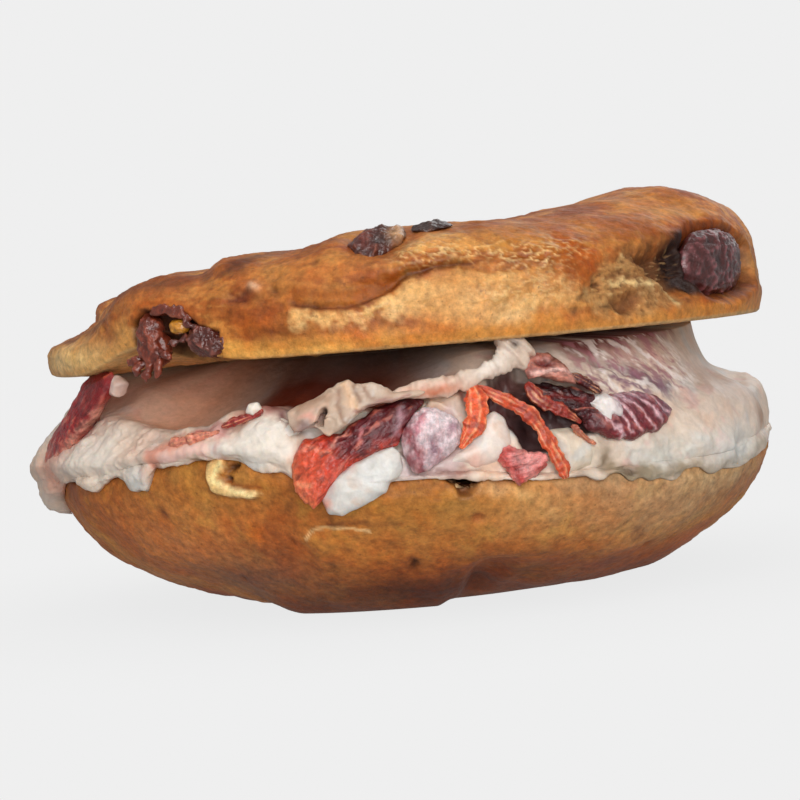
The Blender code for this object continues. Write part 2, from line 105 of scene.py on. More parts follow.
@dataclass(frozen=True)
class RoundTheRing:
    """A smooth value that changes with the angle and closes after a full turn."""

    anchors: Path

    def at(self, degrees: np.ndarray) -> np.ndarray:
        """The value at each angle.

        Args:
            degrees: the angles to look up.

        Returns:
            One number for each angle.
        """
        closed = (*self.anchors, (self.anchors[0][0] + 360, self.anchors[0][1]))
        turn = (degrees - closed[0][0]) % 360 + closed[0][0]
        value = np.full(np.shape(degrees), float(closed[-1][1]))
        for (start, low), (end, high) in zip(closed, closed[1:]):
            inside = (turn >= start) & (turn <= end)
            value = np.where(inside, low + (high - low) * ease(turn, start, end), value)
        return value


class Grain:
    """Smooth repeatable noise over points in space."""

    def __init__(self, seed: int) -> None:
        """Shuffles the noise.

        Args:
            seed: what the shuffle starts from.
        """
        chance = np.random.default_rng(seed)
        self.order = np.tile(chance.permutation(256), 3)
        slopes = chance.normal(size=(256, 3))
        self.slopes = slopes / np.linalg.norm(slopes, axis=1, keepdims=True)

    def at(self, points: np.ndarray, size: float) -> np.ndarray:
        """Noise between about -1 and 1.

        Args:
            points: places, one a row.
            size: the size of one lump.

        Returns:
            One number for each place.
        """
        spot = points / size
        cell = np.floor(spot).astype(int)
        part = spot - cell
        fade = part**3 * (part * (part * 6 - 15) + 10)
        cell &= 255
        total = np.zeros(len(points))
        for corner in range(8):
            step = np.array([corner & 1, corner >> 1 & 1, corner >> 2 & 1])
            key = self.order[cell[:, 0] + step[0]]
            key = self.order[key + cell[:, 1] + step[1]]
            key = self.order[key + cell[:, 2] + step[2]]
            weight = np.prod(np.where(step, fade, 1 - fade), axis=1)
            total += weight * ((part - step) * self.slopes[key]).sum(axis=1)
        return total * 1.7

    def layered(self, points: np.ndarray, size: float, layers: int = 3, gain: float = 0.5) -> np.ndarray:
        """Noise with finer noise on it.

        Args:
            points: places, one a row.
            size: the size of the largest lumps.
            layers: how many sizes are added, each half the last.
            gain: how strong each is beside the last.

        Returns:
            One number for each place.
        """
        return sum(gain**k * self.at(points + 31.7 * k, size / 2**k) for k in range(layers))

    def ridged(self, points: np.ndarray, size: float, layers: int = 2) -> np.ndarray:
        """Noise with sharp ridges, between about 0 and 1.

        Args:
            points: places, one a row.
            size: the distance between ridges.
            layers: how many sizes are added, each half the last.

        Returns:
            One number for each place.
        """
        found = sum(0.5**k * (1 - 2 * np.abs(self.at(points + 17.3 * k, size / 2**k))) for k in range(layers))
        return np.clip(found / (2 - 0.5 ** (layers - 1)), -0.5, 1)


def places(degrees: np.ndarray, radius: np.ndarray, height: np.ndarray) -> np.ndarray:
    """Points from angles, distances from the axis and heights.

    Args:
        degrees: the angles.
        radius: the distances from the axis.
        height: the heights.

    Returns:
        An array with x, y and z last.
    """
    turn = np.radians(degrees)
    return np.stack(np.broadcast_arrays(radius * np.cos(turn), radius * np.sin(turn), height), axis=-1)


def lumps(points: np.ndarray, size: float) -> np.ndarray:
    """The same smooth lumps that the solids have.

    Args:
        points: places in millimetres, with x, y and z last.
        size: the size of one lump.

    Returns:
        One number for each place.
    """
    flat = points.reshape(-1, 3) / size
    return np.array([noise.noise(Vector(spot)) for spot in flat.tolist()]).reshape(points.shape[:-1])


def flowing(anchors: np.ndarray, steps: int) -> np.ndarray:
    """A smooth line through points.

    Args:
        anchors: the points, one a row along the first axis.
        steps: how many points the line gets.

    Returns:
        The line's points along the first axis.
    """
    anchors = np.asarray(anchors, float)
    last = len(anchors) - 1
    spot = np.linspace(0, last, steps)
    at = np.minimum(spot.astype(int), last - 1)
    part = (spot - at).reshape(-1, *[1] * (anchors.ndim - 1))
    before, start = anchors[np.maximum(at - 1, 0)], anchors[at]
    end, after = anchors[at + 1], anchors[np.minimum(at + 2, last)]
    bend = 2 * before - 5 * start + 4 * end - after
    twist = -before + 3 * start - 3 * end + after
    return 0.5 * (2 * start + (end - before) * part + bend * part**2 + twist * part**3)


# Paint and relief


@dataclass(frozen=True)
class Tone:
    """A colour as the eye sees it, from 0 to 255."""

    red: float
    green: float
    blue: float

    def mixed(self) -> np.ndarray:
        """The colour in the light's own numbers."""
        seen = np.array([self.red, self.green, self.blue]) / 255
        return np.where(seen <= 0.04045, seen / 12.92, ((seen + 0.055) / 1.055) ** 2.4)


class Canvas:
    """The points of one surface, with the colour, relief and wetness laid on them."""

    def __init__(self, points: np.ndarray, ground: Tone, seed: int) -> None:
        """Covers the points with one ground colour.

        Args:
            points: the surface's points.
            ground: the colour.
            seed: what its noise starts from.
        """
        self.points = points.reshape(-1, 3)
        self.degrees = np.degrees(np.arctan2(self.points[:, 1], self.points[:, 0])) % 360
        self.radius = np.hypot(self.points[:, 0], self.points[:, 1])
        self.height = self.points[:, 2]
        self.grain = Grain(seed)
        self.colour = np.tile(ground.mixed(), (len(self.points), 1))
        self.lift = np.zeros(len(self.points))
        self.wet = np.zeros(len(self.points))
        self.outer = ease(self.radius, 22, 30)
        self.shake = [self.grain.layered(self.points + 90 * k, 2.4, 3, 0.6) for k in (1, 2)]

    def beside(self, degrees: float, height: float, ragged: float) -> tuple[np.ndarray, np.ndarray]:
        """How far each point lies from a place, along the rim and upwards.

        Args:
            degrees: the angle of the place.
            height: its height.
            ragged: how far the edges of what is laid there wander.

        Returns:
            The distances along the rim and upwards.
        """
        side = np.radians(turned_by(self.degrees, degrees)) * REACH + ragged * self.shake[0]
        return side, self.height - height + ragged * self.shake[1]

    def paint(self, share: np.ndarray, tone: Tone, strength: float = 1.0) -> None:
        """Mixes a colour in by each point's share."""
        share = np.clip(share * strength, 0, 1)[:, None]
        self.colour = self.colour * (1 - share) + tone.mixed() * share

    def lay(self, marks: "Marks") -> None:
        """Lays the marks on it in order."""
        for mark in marks:
            mark.lay(self)


def unrolled(route: Path) -> list[tuple[float, float]]:
    """A route of (angle, height) points laid flat, from its own first angle."""
    return [(math.radians(turned_by(degrees, route[0][0])) * REACH, height) for degrees, height in route]


def from_line(side: np.ndarray, up: np.ndarray, spots: list[tuple[float, float]]) -> np.ndarray:
    """How far points lie from a line.

    Args:
        side: the points' places along the rim.
        up: their heights.
        spots: the line's corners.

    Returns:
        The distances.
    """
    nearest = np.full(len(side), 1e9)
    for (x0, y0), (x1, y1) in zip(spots, spots[1:]):
        run, rise = x1 - x0, y1 - y0
        share = np.clip(((side - x0) * run + (up - y0) * rise) / (run * run + rise * rise), 0, 1)
        nearest = np.minimum(nearest, np.hypot(side - x0 - share * run, up - y0 - share * rise))
    return nearest


class Zone:
    """A part of a surface, as a share between 0 and 1 at each point."""

    def over(self, canvas: Canvas, ragged: float = 0.0) -> np.ndarray:
        """The share at each point of the canvas."""
        raise NotImplementedError


@dataclass(frozen=True)
class Spot(Zone):
    """A rounded spot on the side: its place, half sizes, lean and how sharp its edge is."""

    degrees: float
    height: float
    along: float
    tall: float
    lean: float = 0.0
    edge: float = 1.0

    def over(self, canvas: Canvas, ragged: float = 0.0) -> np.ndarray:
        """The share at each point.

        Args:
            canvas: the surface.
            ragged: how far the edge wanders.

        Returns:
            Shares between 0 and 1.
        """
        side, up = canvas.beside(self.degrees, self.height, ragged)
        turn = math.radians(self.lean)
        first = (side * math.cos(turn) + up * math.sin(turn)) / self.along
        second = (up * math.cos(turn) - side * math.sin(turn)) / self.tall
        return np.exp(-((first**2 + second**2) ** self.edge))


@dataclass(frozen=True)
class Line(Zone):
    """A line along (angle, height) points, with its half width and how sharp its edge is."""

    route: Path
    width: float
    edge: float = 1.0

    def over(self, canvas: Canvas, ragged: float = 0.0) -> np.ndarray:
        """The share at each point, where ragged is how far the edge wanders."""
        away = from_line(*canvas.beside(self.route[0][0], 0, ragged), unrolled(self.route))
        return np.exp(-((away / self.width) ** (2 * self.edge)))


@dataclass(frozen=True)
class Patch(Zone):
    """The inside of an outline of (angle, height) points, with a soft edge."""

    outline: Path
    soft: float = 0.5

    def over(self, canvas: Canvas, ragged: float = 0.0) -> np.ndarray:
        """The share at each point.

        Args:
            canvas: the surface.
            ragged: how far the edge wanders.

        Returns:
            Shares between 0 and 1.
        """
        side, up = canvas.beside(self.outline[0][0], 0, ragged)
        corners = unrolled(self.outline + self.outline[:1])
        inside = np.zeros(len(side), bool)
        for (x0, y0), (x1, y1) in zip(corners, corners[1:]):
            if y1 != y0:
                inside ^= ((y0 > up) != (y1 > up)) & (side < x0 + (x1 - x0) * (up - y0) / (y1 - y0))
        away = from_line(side, up, corners)
        return ease(np.where(inside, away, -away), -self.soft, self.soft)


@dataclass(frozen=True)
class Ball(Zone):
    """Everything near a point in space: its place, its size and how sharp its edge is."""

    degrees: float
    radius: float
    height: float
    size: float
    edge: float = 1.0

    def over(self, canvas: Canvas, ragged: float = 0.0) -> np.ndarray:
        """The share at each point.

        Args:
            canvas: the surface.
            ragged: how far the edge wanders.

        Returns:
            Shares between 0 and 1.
        """
        centre = places(self.degrees, self.radius, self.height)
        away = np.linalg.norm(canvas.points - centre, axis=1) + ragged * canvas.shake[0]
        return np.exp(-((away / self.size) ** (2 * self.edge)))


@dataclass(frozen=True)
class Dab:
    """One colour laid on a zone."""

    zone: Zone
    tone: Tone
    strength: float = 1.0
    ragged: float = 0.5

    def lay(self, canvas: Canvas) -> None:
        """Paints it on the canvas."""
        canvas.paint(self.zone.over(canvas, self.ragged) * canvas.outer, self.tone, self.strength)


@dataclass(frozen=True)
class Push:
    """A zone pushed out of the surface, or into it where the height is negative."""

    zone: Zone
    height: float
    ragged: float = 0.3

    def lay(self, canvas: Canvas) -> None:
        """Adds it to the relief of the canvas."""
        canvas.lift += self.height * self.zone.over(canvas, self.ragged) * canvas.outer


@dataclass(frozen=True)
class Shine:
    """A zone that is wetter than the rest, or drier where the share is negative."""

    zone: Zone
    share: float
    ragged: float = 0.5

    def lay(self, canvas: Canvas) -> None:
        """Adds it to the wetness of the canvas."""
        canvas.wet += self.share * self.zone.over(canvas, self.ragged) * canvas.outer


Marks = tuple[Dab | Push | Shine, ...]


# Surfaces and pieces


@dataclass
class Surface:
    """A grid of points: columns round it, rows along it, with optional end caps."""

    grid: np.ndarray
    closed_rows: bool = False
    capped: bool = False

    def outward(self) -> np.ndarray:
        """The direction out of the surface at each point.

        Returns:
            Unit directions, in the grid's own layout.
        """
        around = np.roll(self.grid, -1, axis=0) - np.roll(self.grid, 1, axis=0)
        if self.closed_rows:
            onward = np.roll(self.grid, -1, axis=1) - np.roll(self.grid, 1, axis=1)
        else:
            onward = np.gradient(self.grid, axis=1)
        out = np.cross(onward, around)
        return out / np.maximum(np.linalg.norm(out, axis=-1, keepdims=True), 1e-9)

    def canvas(self, ground: Tone, seed: int) -> Canvas:
        """A canvas over the grid's points."""
        return Canvas(self.grid, ground, seed)

    def press(self, canvas: Canvas) -> None:
        """Moves each point outwards by the canvas's relief."""
        self.grid = self.grid + self.outward() * canvas.lift.reshape(self.grid.shape[:2])[..., None]

    def become(
        self, name: str, canvas: Canvas, slot: "Slot", material: bpy.types.Material, node: str | None = None
    ) -> bpy.types.Object:
        """Presses the relief in, and makes a piece of this one surface.

        Args:
            name: the piece's name.
            canvas: the surface's canvas.
            slot: the finish's slot in the record.
            material: the finish that it wears.
            node: the node that it takes the place of, if any.

        Returns:
            The piece's object.
        """
        self.press(canvas)
        piece = Piece(name, slot)
        piece.add(self, canvas)
        return piece.make(material, node)

    def faces(self, start: int) -> list[tuple[int, ...]]:
        """The faces, with their points numbered from start, and the two cap points last.

        Args:
            start: the number of the grid's first point.

        Returns:
            The faces' point numbers.
        """
        columns, rows = self.grid.shape[:2]
        column = np.arange(columns)[:, None] * rows
        row = np.arange(rows if self.closed_rows else rows - 1)[None, :]
        first, onward = column + row, column + (row + 1) % rows
        quads = np.stack([first, onward, np.roll(onward, -1, axis=0), np.roll(first, -1, axis=0)], axis=-1)
        found = [tuple(face) for face in (quads.reshape(-1, 4) + start).tolist()]
        if self.capped:
            near = start + columns * rows
            for k in range(columns):
                after = (k + 1) % columns
                found.append((near, start + k * rows, start + after * rows))
                found.append((near + 1, start + after * rows + rows - 1, start + k * rows + rows - 1))
        return found


class Slot(Enum):
    """The finish that a piece takes in the record."""

    CRUST = "crust"
    CHEESE = "soft_cheese"
    STRAWBERRY = "strawberry"
    RAISIN = "raisin"
    SULTANA = "sultana"


@dataclass
class Piece:
    """One piece of the sandwich, gathered from surfaces and their canvases."""

    name: str
    slot: Slot
    surfaces: list[tuple[Surface, Canvas]] = field(default_factory=list)

    def add(self, surface: Surface, canvas: Canvas) -> None:
        """Adds one surface with its canvas."""
        self.surfaces.append((surface, canvas))

    def make(self, material: bpy.types.Material, stands_for: str | None = None) -> bpy.types.Object:
        """Makes the piece's mesh, and rides it on the frame.

        Args:
            material: the finish that it wears.
            stands_for: the node that it takes the place of, if any.

        Returns:
            The piece's object.
        """
        points, colours, wets, faces = [], [], [], []
        start = 0
        for surface, canvas in self.surfaces:
            faces += surface.faces(start)
            flat = surface.grid.reshape(-1, 3)
            colour, wet = canvas.colour, canvas.wet
            if surface.capped:
                ends = [surface.grid[:, k].mean(axis=0) for k in (0, -1)]
                flat = np.vstack([flat, ends])
                colour = np.vstack([colour, colour[[0, len(canvas.colour) - 1]]])
                wet = np.concatenate([wet, wet[[0, -1]]])
            points.append(flat)
            colours.append(colour)
            wets.append(wet)
            start += len(flat)
        mesh = bpy.data.meshes.new(self.name)
        mesh.from_pydata(((np.vstack(points) + SET_DOWN) * MM).tolist(), [], faces)
        paint = mesh.attributes.new("paint", "FLOAT_COLOR", "POINT")
        rgba = np.hstack([np.clip(np.vstack(colours), 0.003, 0.95), np.ones((start, 1))])
        paint.data.foreach_set("color", rgba.astype(np.float32).ravel())
        wetness = mesh.attributes.new("wet", "FLOAT", "POINT")
        wetness.data.foreach_set("value", np.clip(np.concatenate(wets), 0, 1).astype(np.float32))
        mesh.materials.append(material)
        mesh.shade_smooth()
        obj = bpy.data.objects.new(self.name, mesh)
        bpy.context.scene.collection.objects.link(obj)
        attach(obj, "root")
        if stands_for:
            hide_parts(stands_for)
        LOG.info("%s: %d points, %d faces", self.name, start, len(faces))
        return obj


# Finishes


class Bench:
    """Lays out the nodes of one material."""

    def __init__(self, name: str) -> None:
        """Starts a material with its shader.

        Args:
            name: the material's name.
        """
        self.material = bpy.data.materials.new(name)
        self.material.use_nodes = True
        self.tree = self.material.node_tree
        self.shader = self.tree.nodes["Principled BSDF"]

    def node(self, kind: str, **settings: object) -> bpy.types.Node:
        """A new node with its settings.

        Args:
            kind: the node's type.
            settings: its own settings, by name.

        Returns:
            The node.
        """
        made = self.tree.nodes.new(kind)
        for name, value in settings.items():
            setattr(made, name, value)
        return made

    def join(self, start: bpy.types.NodeSocket, end: bpy.types.NodeSocket) -> None:
        """Links one socket to another."""
        self.tree.links.new(start, end)

    def speckle(self, size: float, detail: float = 4.0, roughness: float = 0.6) -> bpy.types.NodeSocket:
        """Noise over the object's own places.

        Args:
            size: the size of one lump, in millimetres.
            detail: how many finer layers it has.
            roughness: how strong they are.

        Returns:
            The noise's socket, between 0 and 1.
        """
        where = self.node("ShaderNodeTexCoord")
        grain = self.node("ShaderNodeTexNoise")
        grain.inputs["Scale"].default_value = 1 / (size * MM)
        grain.inputs["Detail"].default_value = detail
        grain.inputs["Roughness"].default_value = roughness
        self.join(where.outputs["Object"], grain.inputs["Vector"])
        return grain.outputs["Fac"]

    def between(
        self, value: bpy.types.NodeSocket, start: tuple[float, float], end: tuple[float, float]
    ) -> bpy.types.NodeSocket:
        """Maps a value from one range to another, and stops at its ends.

        Args:
            value: the socket that is mapped.
            start: the range that it comes from.
            end: the range that it goes to.

        Returns:
            The mapped socket.
        """
        scale = self.node("ShaderNodeMapRange")
        for name, number in zip(("From Min", "From Max", "To Min", "To Max"), (*start, *end)):
            scale.inputs[name].default_value = number
        self.join(value, scale.inputs["Value"])
        return scale.outputs["Result"]

    def toned(
        self, colour: bpy.types.NodeSocket, share: bpy.types.NodeSocket, tone: Tone, blend: str = "MIX"
    ) -> bpy.types.NodeSocket:
        """Mixes a colour into another by a share.

        Args:
            colour: the colour below.
            share: how much of the new colour shows.
            tone: the new colour.
            blend: how the two are mixed.

        Returns:
            The mixed colour's socket.
        """
        mix = self.node("ShaderNodeMix", data_type="RGBA", blend_type=blend)
        self.join(share, mix.inputs["Factor"])
        self.join(colour, mix.inputs["A"])
        mix.inputs["B"].default_value = (*tone.mixed().tolist(), 1)
        return mix.outputs["Result"]

    def scaled(self, colour: bpy.types.NodeSocket, amount: bpy.types.NodeSocket) -> bpy.types.NodeSocket:
        """Makes a colour lighter or darker by an amount.

        Args:
            colour: the colour.
            amount: what it is multiplied by.

        Returns:
            The new colour's socket.
        """
        scale = self.node("ShaderNodeVectorMath", operation="SCALE")
        self.join(colour, scale.inputs["Vector"])
        self.join(amount, scale.inputs["Scale"])
        return scale.outputs["Vector"]

    def deepened(self, colour: bpy.types.NodeSocket, depth: float) -> bpy.types.NodeSocket:
        """Makes a colour richer and darker.

        Args:
            colour: the colour.
            depth: the power that it is raised to.

        Returns:
            The new colour's socket.
        """
        bend = self.node("ShaderNodeGamma")
        bend.inputs["Gamma"].default_value = depth
        self.join(colour, bend.inputs["Color"])
        return bend.outputs["Color"]

    def read(self, name: str) -> bpy.types.Node:
        """The node that reads a value laid on the points."""
        return self.node("ShaderNodeAttribute", attribute_name=name)

    def relief(self, layers: list[tuple[bpy.types.NodeSocket, float]]) -> None:
        """Gives the surface fine relief.

        Args:
            layers: each height socket with its depth in millimetres.
        """
        below = None
        for height, depth in layers:
            bump = self.node("ShaderNodeBump")
            bump.inputs["Distance"].default_value = depth * MM
            bump.inputs["Strength"].default_value = 1.0
            self.join(height, bump.inputs["Height"])
            if below is not None:
                self.join(below, bump.inputs["Normal"])
            below = bump.outputs["Normal"]
        self.join(below, self.shader.inputs["Normal"])

    def set(self, **values: object) -> None:
        """Sets the shader's own sockets, with _ for a space in their names."""
        for name, value in values.items():
            self.shader.inputs[name.replace("_", " ")].default_value = value


@dataclass(frozen=True)
class CrustFinish:
    """Baked dough: mottled brown, with a fine wrinkled skin."""

    mottle: float = 1.1
    blotch: float = 3.4
    dark: Tone = Tone(96, 52, 28)
    warm: Tone = Tone(196, 122, 52)
    dry: float = 0.68
    glossy: float = 0.24
    depth: float = 1.14

    def material(self) -> bpy.types.Material:
        """Builds the material.

        Returns:
            The material.
        """
        bench = Bench("baked crust")
        paint = bench.read("paint").outputs["Color"]
        blotch = bench.between(bench.speckle(self.blotch, 5, 0.62), (0.36, 0.68), (0, 0.34))
        colour = bench.toned(paint, blotch, self.warm, "SOFT_LIGHT")
        fine = bench.speckle(self.mottle, 6, 0.68)
        colour = bench.scaled(colour, bench.between(fine, (0.28, 0.72), (0.64, 1.36)))
        colour = bench.deepened(colour, self.depth)
        fleck = bench.between(bench.speckle(0.75, 2, 0.5), (0.66, 0.74), (0, 0.4))
        colour = bench.toned(colour, fleck, self.dark)
        bench.join(colour, bench.shader.inputs["Base Color"])
        wet = bench.read("wet").outputs["Fac"]
        bench.join(bench.between(wet, (0, 1), (self.dry, self.glossy)), bench.shader.inputs["Roughness"])
        bench.relief([(bench.speckle(1.0, 5, 0.65), 0.2), (bench.speckle(0.3, 3, 0.6), 0.04)])
        bench.set(Specular_IOR_Level=0.28, Subsurface_Weight=0.03, Subsurface_Scale=0.001)
        return bench.material


@dataclass(frozen=True)
class CheeseFinish:
    """Soft cheese: creamy, a little see-through at its edges, with a moist crumbly skin."""

    bluish: Tone = Tone(206, 206, 204)
    warm: Tone = Tone(232, 200, 172)

    def material(self) -> bpy.types.Material:
        """Builds the material.

        Returns:
            The material.
        """
        bench = Bench("soft cheese")
        paint = bench.read("paint").outputs["Color"]
        cool = bench.between(bench.speckle(2.6, 4, 0.6), (0.45, 0.75), (0, 0.35))
        colour = bench.toned(paint, cool, self.bluish, "MULTIPLY")
        fine = bench.speckle(0.9, 5, 0.6)
        colour = bench.scaled(colour, bench.between(fine, (0.3, 0.7), (0.90, 1.08)))
        bench.join(colour, bench.shader.inputs["Base Color"])
        wet = bench.read("wet").outputs["Fac"]
        bench.join(bench.between(wet, (0, 1), (0.5, 0.3)), bench.shader.inputs["Roughness"])
        bench.join(bench.between(wet, (0, 0.4), (0.02, 0.4)), bench.shader.inputs["Specular IOR Level"])
        bench.relief([(bench.speckle(1.8, 4, 0.5), 0.16), (bench.speckle(0.4, 2, 0.5), 0.02)])
        bench.set(Subsurface_Weight=0.2, Subsurface_Scale=0.001)
        bench.set(Subsurface_Radius=(1.0, 0.6, 0.4))
        return bench.material


@dataclass(frozen=True)
class BerryFinish:
    """Cut strawberry: wet, see-through red flesh with pale fibres."""

    def material(self) -> bpy.types.Material:
        """Builds the material.

        Returns:
            The material.
        """
        bench = Bench("cut strawberry")
        paint = bench.read("paint").outputs["Color"]
        fine = bench.speckle(0.8, 5, 0.65)
        colour = bench.scaled(paint, bench.between(fine, (0.28, 0.72), (0.58, 1.42)))
        colour = bench.deepened(colour, 1.18)
        bench.join(colour, bench.shader.inputs["Base Color"])
        wet = bench.read("wet").outputs["Fac"]
        bench.join(bench.between(wet, (0, 1), (0.5, 0.2)), bench.shader.inputs["Roughness"])
        bench.relief([(bench.speckle(0.7, 5, 0.65), 0.26)])
        bench.set(Subsurface_Weight=0.2, Subsurface_Scale=0.001, Coat_Weight=0.2, Coat_Roughness=0.2)
        bench.set(Subsurface_Radius=(1.0, 0.25, 0.2))
        return bench.material


@dataclass(frozen=True)
class DriedFinish:
    """Dried fruit: a dark wrinkled skin with a waxy shine."""

    name: str
    rough: float = 0.34
    coat: float = 0.45

    def material(self) -> bpy.types.Material:
        """Builds the material.

        Returns:
            The material.
        """
        bench = Bench(self.name)
        paint = bench.read("paint").outputs["Color"]
        fine = bench.speckle(0.9, 5, 0.65)
        colour = bench.scaled(paint, bench.between(fine, (0.28, 0.72), (0.55, 1.5)))
        bench.join(colour, bench.shader.inputs["Base Color"])
        bench.relief([(bench.speckle(0.8, 4, 0.6), 0.24)])
        bench.set(Roughness=self.rough, Coat_Weight=self.coat, Coat_Roughness=0.18)
        return bench.material


@dataclass(frozen=True)
class Finishes:
    """Every material of the sandwich, made once."""

    crust: bpy.types.Material = field(default_factory=lambda: CrustFinish().material())
    cheese: bpy.types.Material = field(default_factory=lambda: CheeseFinish().material())
    berry: bpy.types.Material = field(default_factory=lambda: BerryFinish().material())
    raisin: bpy.types.Material = field(default_factory=lambda: DriedFinish("raisin skin").material())
    sultana: bpy.types.Material = field(default_factory=lambda: DriedFinish("sultana skin", 0.25).material())


# Tones of the crust

GOLD = Tone(196, 142, 78)
OLIVE_GOLD = Tone(178, 128, 66)
PALE_GOLD = Tone(222, 178, 120)
CREAM_CRUST = Tone(230, 192, 146)
ORANGE = Tone(178, 104, 48)
BRIGHT_ORANGE = Tone(206, 118, 46)
BROWN = Tone(140, 78, 42)
DEEP = Tone(92, 50, 34)
BLACK_BROWN = Tone(48, 24, 16)
MAUVE = Tone(112, 78, 70)
TAN = Tone(184, 150, 116)
CRUMB = Tone(208, 176, 138)
GREY_CRUMB = Tone(168, 140, 108)


def ring_angles() -> np.ndarray:
    """The angles of the columns: close together at the front, wider at the back.

    Returns:
        Angles in degrees, from 0 to 360.
    """
    wide, close = 1.2, 0.31
    front = np.arange(193, 347, close)
    return np.concatenate([np.arange(0, 193, wide), front, np.arange(347.2, 359.6, wide)])


FLAKE = path("238.1 23.3, 240.7 23.5, 241.3 22.7, 240.4 21.6, 239.6 20.9, 241 20, 243.3 19.4, 246.8 18.5, "
    "243.8 18.1, 240.6 18.6, 238.6 19.6, 237.9 21.2")


@dataclass
class LowerHalf:
    """The lower half of the bagel: cut face, round belly, flat foot and hole."""

    radius: float = 52.8
    hole_radius: float = 9.5
    height: float = 19.5
    foot_radius: float = 34.0
    flat_outer: float = 26.0
    flat_inner: float = 15.5
    belly_height: float = 17.0
    belly_power: float = 1.36
    lift_top: float = 9.0
    cut: RoundTheRing = RoundTheRing(
        path("0 19.6, 50 19, 95 20.2, 140 19, 180 19.6, 213 21.2, 229 23.2, 236 23.6, 243 23.4, 249 22.4, "
            "254 20, 270 19.6, 292 17.9, 318 17.4, 342 19.2")
    )
    foot_lift: RoundTheRing = RoundTheRing(
        path("0 0.8, 40 0.2, 62 1.6, 90 0, 140 0.4, 170 1.4, 195 1.8, 217 2, 229 1.3, 240 0, 272 0.1, "
            "276 0.9, 282.5 4.2, 290 2.2, 300 1.2, 312 0.9, 336 0.8")
    )
    marks: Marks = (
        Dab(Spot(212, 15.5, 12, 3.5), ORANGE, 0.6),
        Dab(Spot(203, 19.5, 5, 2.6), BROWN, 0.9),
        Dab(Spot(239, 20.5, 11, 3.2), OLIVE_GOLD, 0.8),
        Dab(Spot(231, 17, 7, 1.6), GOLD, 0.45),
        Dab(Spot(228, 11, 15, 4), Tone(206, 134, 80), 0.85),
        Dab(Spot(247, 12, 9, 3.2), BROWN, 0.35),
        Dab(Spot(238, 6.5, 15, 3.4), MAUVE, 0.75),
        Dab(Spot(243, 13.5, 1.4, 1.3), BRIGHT_ORANGE, 0.75),
        Dab(Spot(258, 9, 10, 4), ORANGE, 0.5),
        Dab(Spot(274, 15, 13, 3.6), OLIVE_GOLD, 0.9),
        Dab(Spot(272, 10.5, 12, 3), GOLD, 0.5),
        Dab(Spot(289, 13.5, 8, 3.4), PALE_GOLD, 0.5),
        Dab(Spot(296, 9, 10, 3), GOLD, 0.5),
        Dab(Spot(313, 12.5, 15, 4.5), TAN, 0.85),
        Dab(Spot(328, 14, 12, 4), Tone(150, 118, 90), 0.6),
        Dab(Spot(300, 17, 9, 1.8), GREY_CRUMB, 0.8),
        Dab(Spot(322, 15.6, 15, 2.2), Tone(204, 178, 142), 0.75, 1.4),
        Dab(Spot(290, 4, 20, 2.4), Tone(128, 70, 38), 0.6),
        # dark band at the foot: partly the bake, partly painted shade
        Dab(Spot(268, 3, 20, 2.8), Tone(84, 42, 28), 0.85),
        Dab(Line(path("252 12.1, 252.8 12.9, 253.9 13.4, 255.5 13.5, 257.6 13.4, 259.7 13.1, "
            "262.2 12.7"), 0.2, 2), CREAM_CRUST, 0.9, 0.1),
        Dab(Line(path("256 14, 258.4 14"), 0.35), DEEP, 0.6, 0.2),
        Dab(Line(path("259.4 13.9, 262.2 14.1"), 0.3), DEEP, 0.5, 0.2),
        Dab(Line(path("262 13.6, 267 13.5"), 0.28), DEEP, 0.35, 0.2),
        Push(Spot(268.4, 7.2, 0.8, 0.7), -0.7),
        Dab(Spot(268.4, 7.2, 0.9, 0.8), BLACK_BROWN, 0.8),
        Push(Spot(278.4, 13.4, 0.7, 0.6), -0.4),
        Dab(Spot(278.4, 13.4, 0.8, 0.6), BROWN, 0.7),
        Push(Patch(path("273.6 19.4, 275.2 18.2, 276.2 16.6, 277.6 16.8, 278.4 18.6, "
            "279.4 19.6"), 0.4), -1.6),
        Dab(Patch(path("273.2 19.6, 275.2 18.2, 276.2 16.4, 277.8 16.6, 278.6 18.4, "
            "279.8 19.8"), 0.5), DEEP, 0.75),
        Dab(Line(path("274 19.6, 279 19.2, 283.5 18.4"), 0.8), BLACK_BROWN, 0.7),
        Dab(Spot(219, 14, 13, 6), Tone(190, 128, 78), 0.45),
        Dab(Spot(313, 13.4, 13, 5), Tone(192, 158, 120), 0.4),
        Dab(Spot(282, 16.8, 4, 0.9, -14), CREAM_CRUST, 0.45),
        Dab(Spot(290.5, 17.6, 2.6, 0.8), CREAM_CRUST, 0.5),
        Shine(Spot(240, 20, 12, 3), 0.5),
        Shine(Spot(272, 15, 14, 3), 0.4),
        Push(Spot(244.6, 21.4, 3.6, 2), 0.9),
        Dab(Spot(244.8, 21.8, 3.2, 1.4), GOLD, 0.7),
        Push(Patch(FLAKE, 0.35), 0.9),
        Dab(Patch(FLAKE, 0.3), Tone(240, 202, 148), 0.95, 0.35),
        Dab(Line(path("240.6 22.9, 239.2 20.8, 242 19.6, 245.4 18.8"), 0.3), Tone(252, 226, 178), 0.8, 0.3),
        # painted shade in the flake's two holes
        Push(Spot(242.4, 22.5, 1.1, 0.55, 12, 2), -1.5, 0.1),
        Dab(Spot(242.4, 22.5, 1.15, 0.55, 12, 2), BLACK_BROWN, 0.9, 0.15),
        Push(Spot(241.7, 20.9, 0.55, 0.45, 0, 2), -1.2, 0.1),
        Dab(Spot(241.7, 20.9, 0.6, 0.5, 0, 2), BLACK_BROWN, 0.9, 0.1),
        Dab(Line(path("241 20.4, 243.6 19.9, 246.6 19.4"), 0.35), BROWN, 0.7, 0.2),
    )

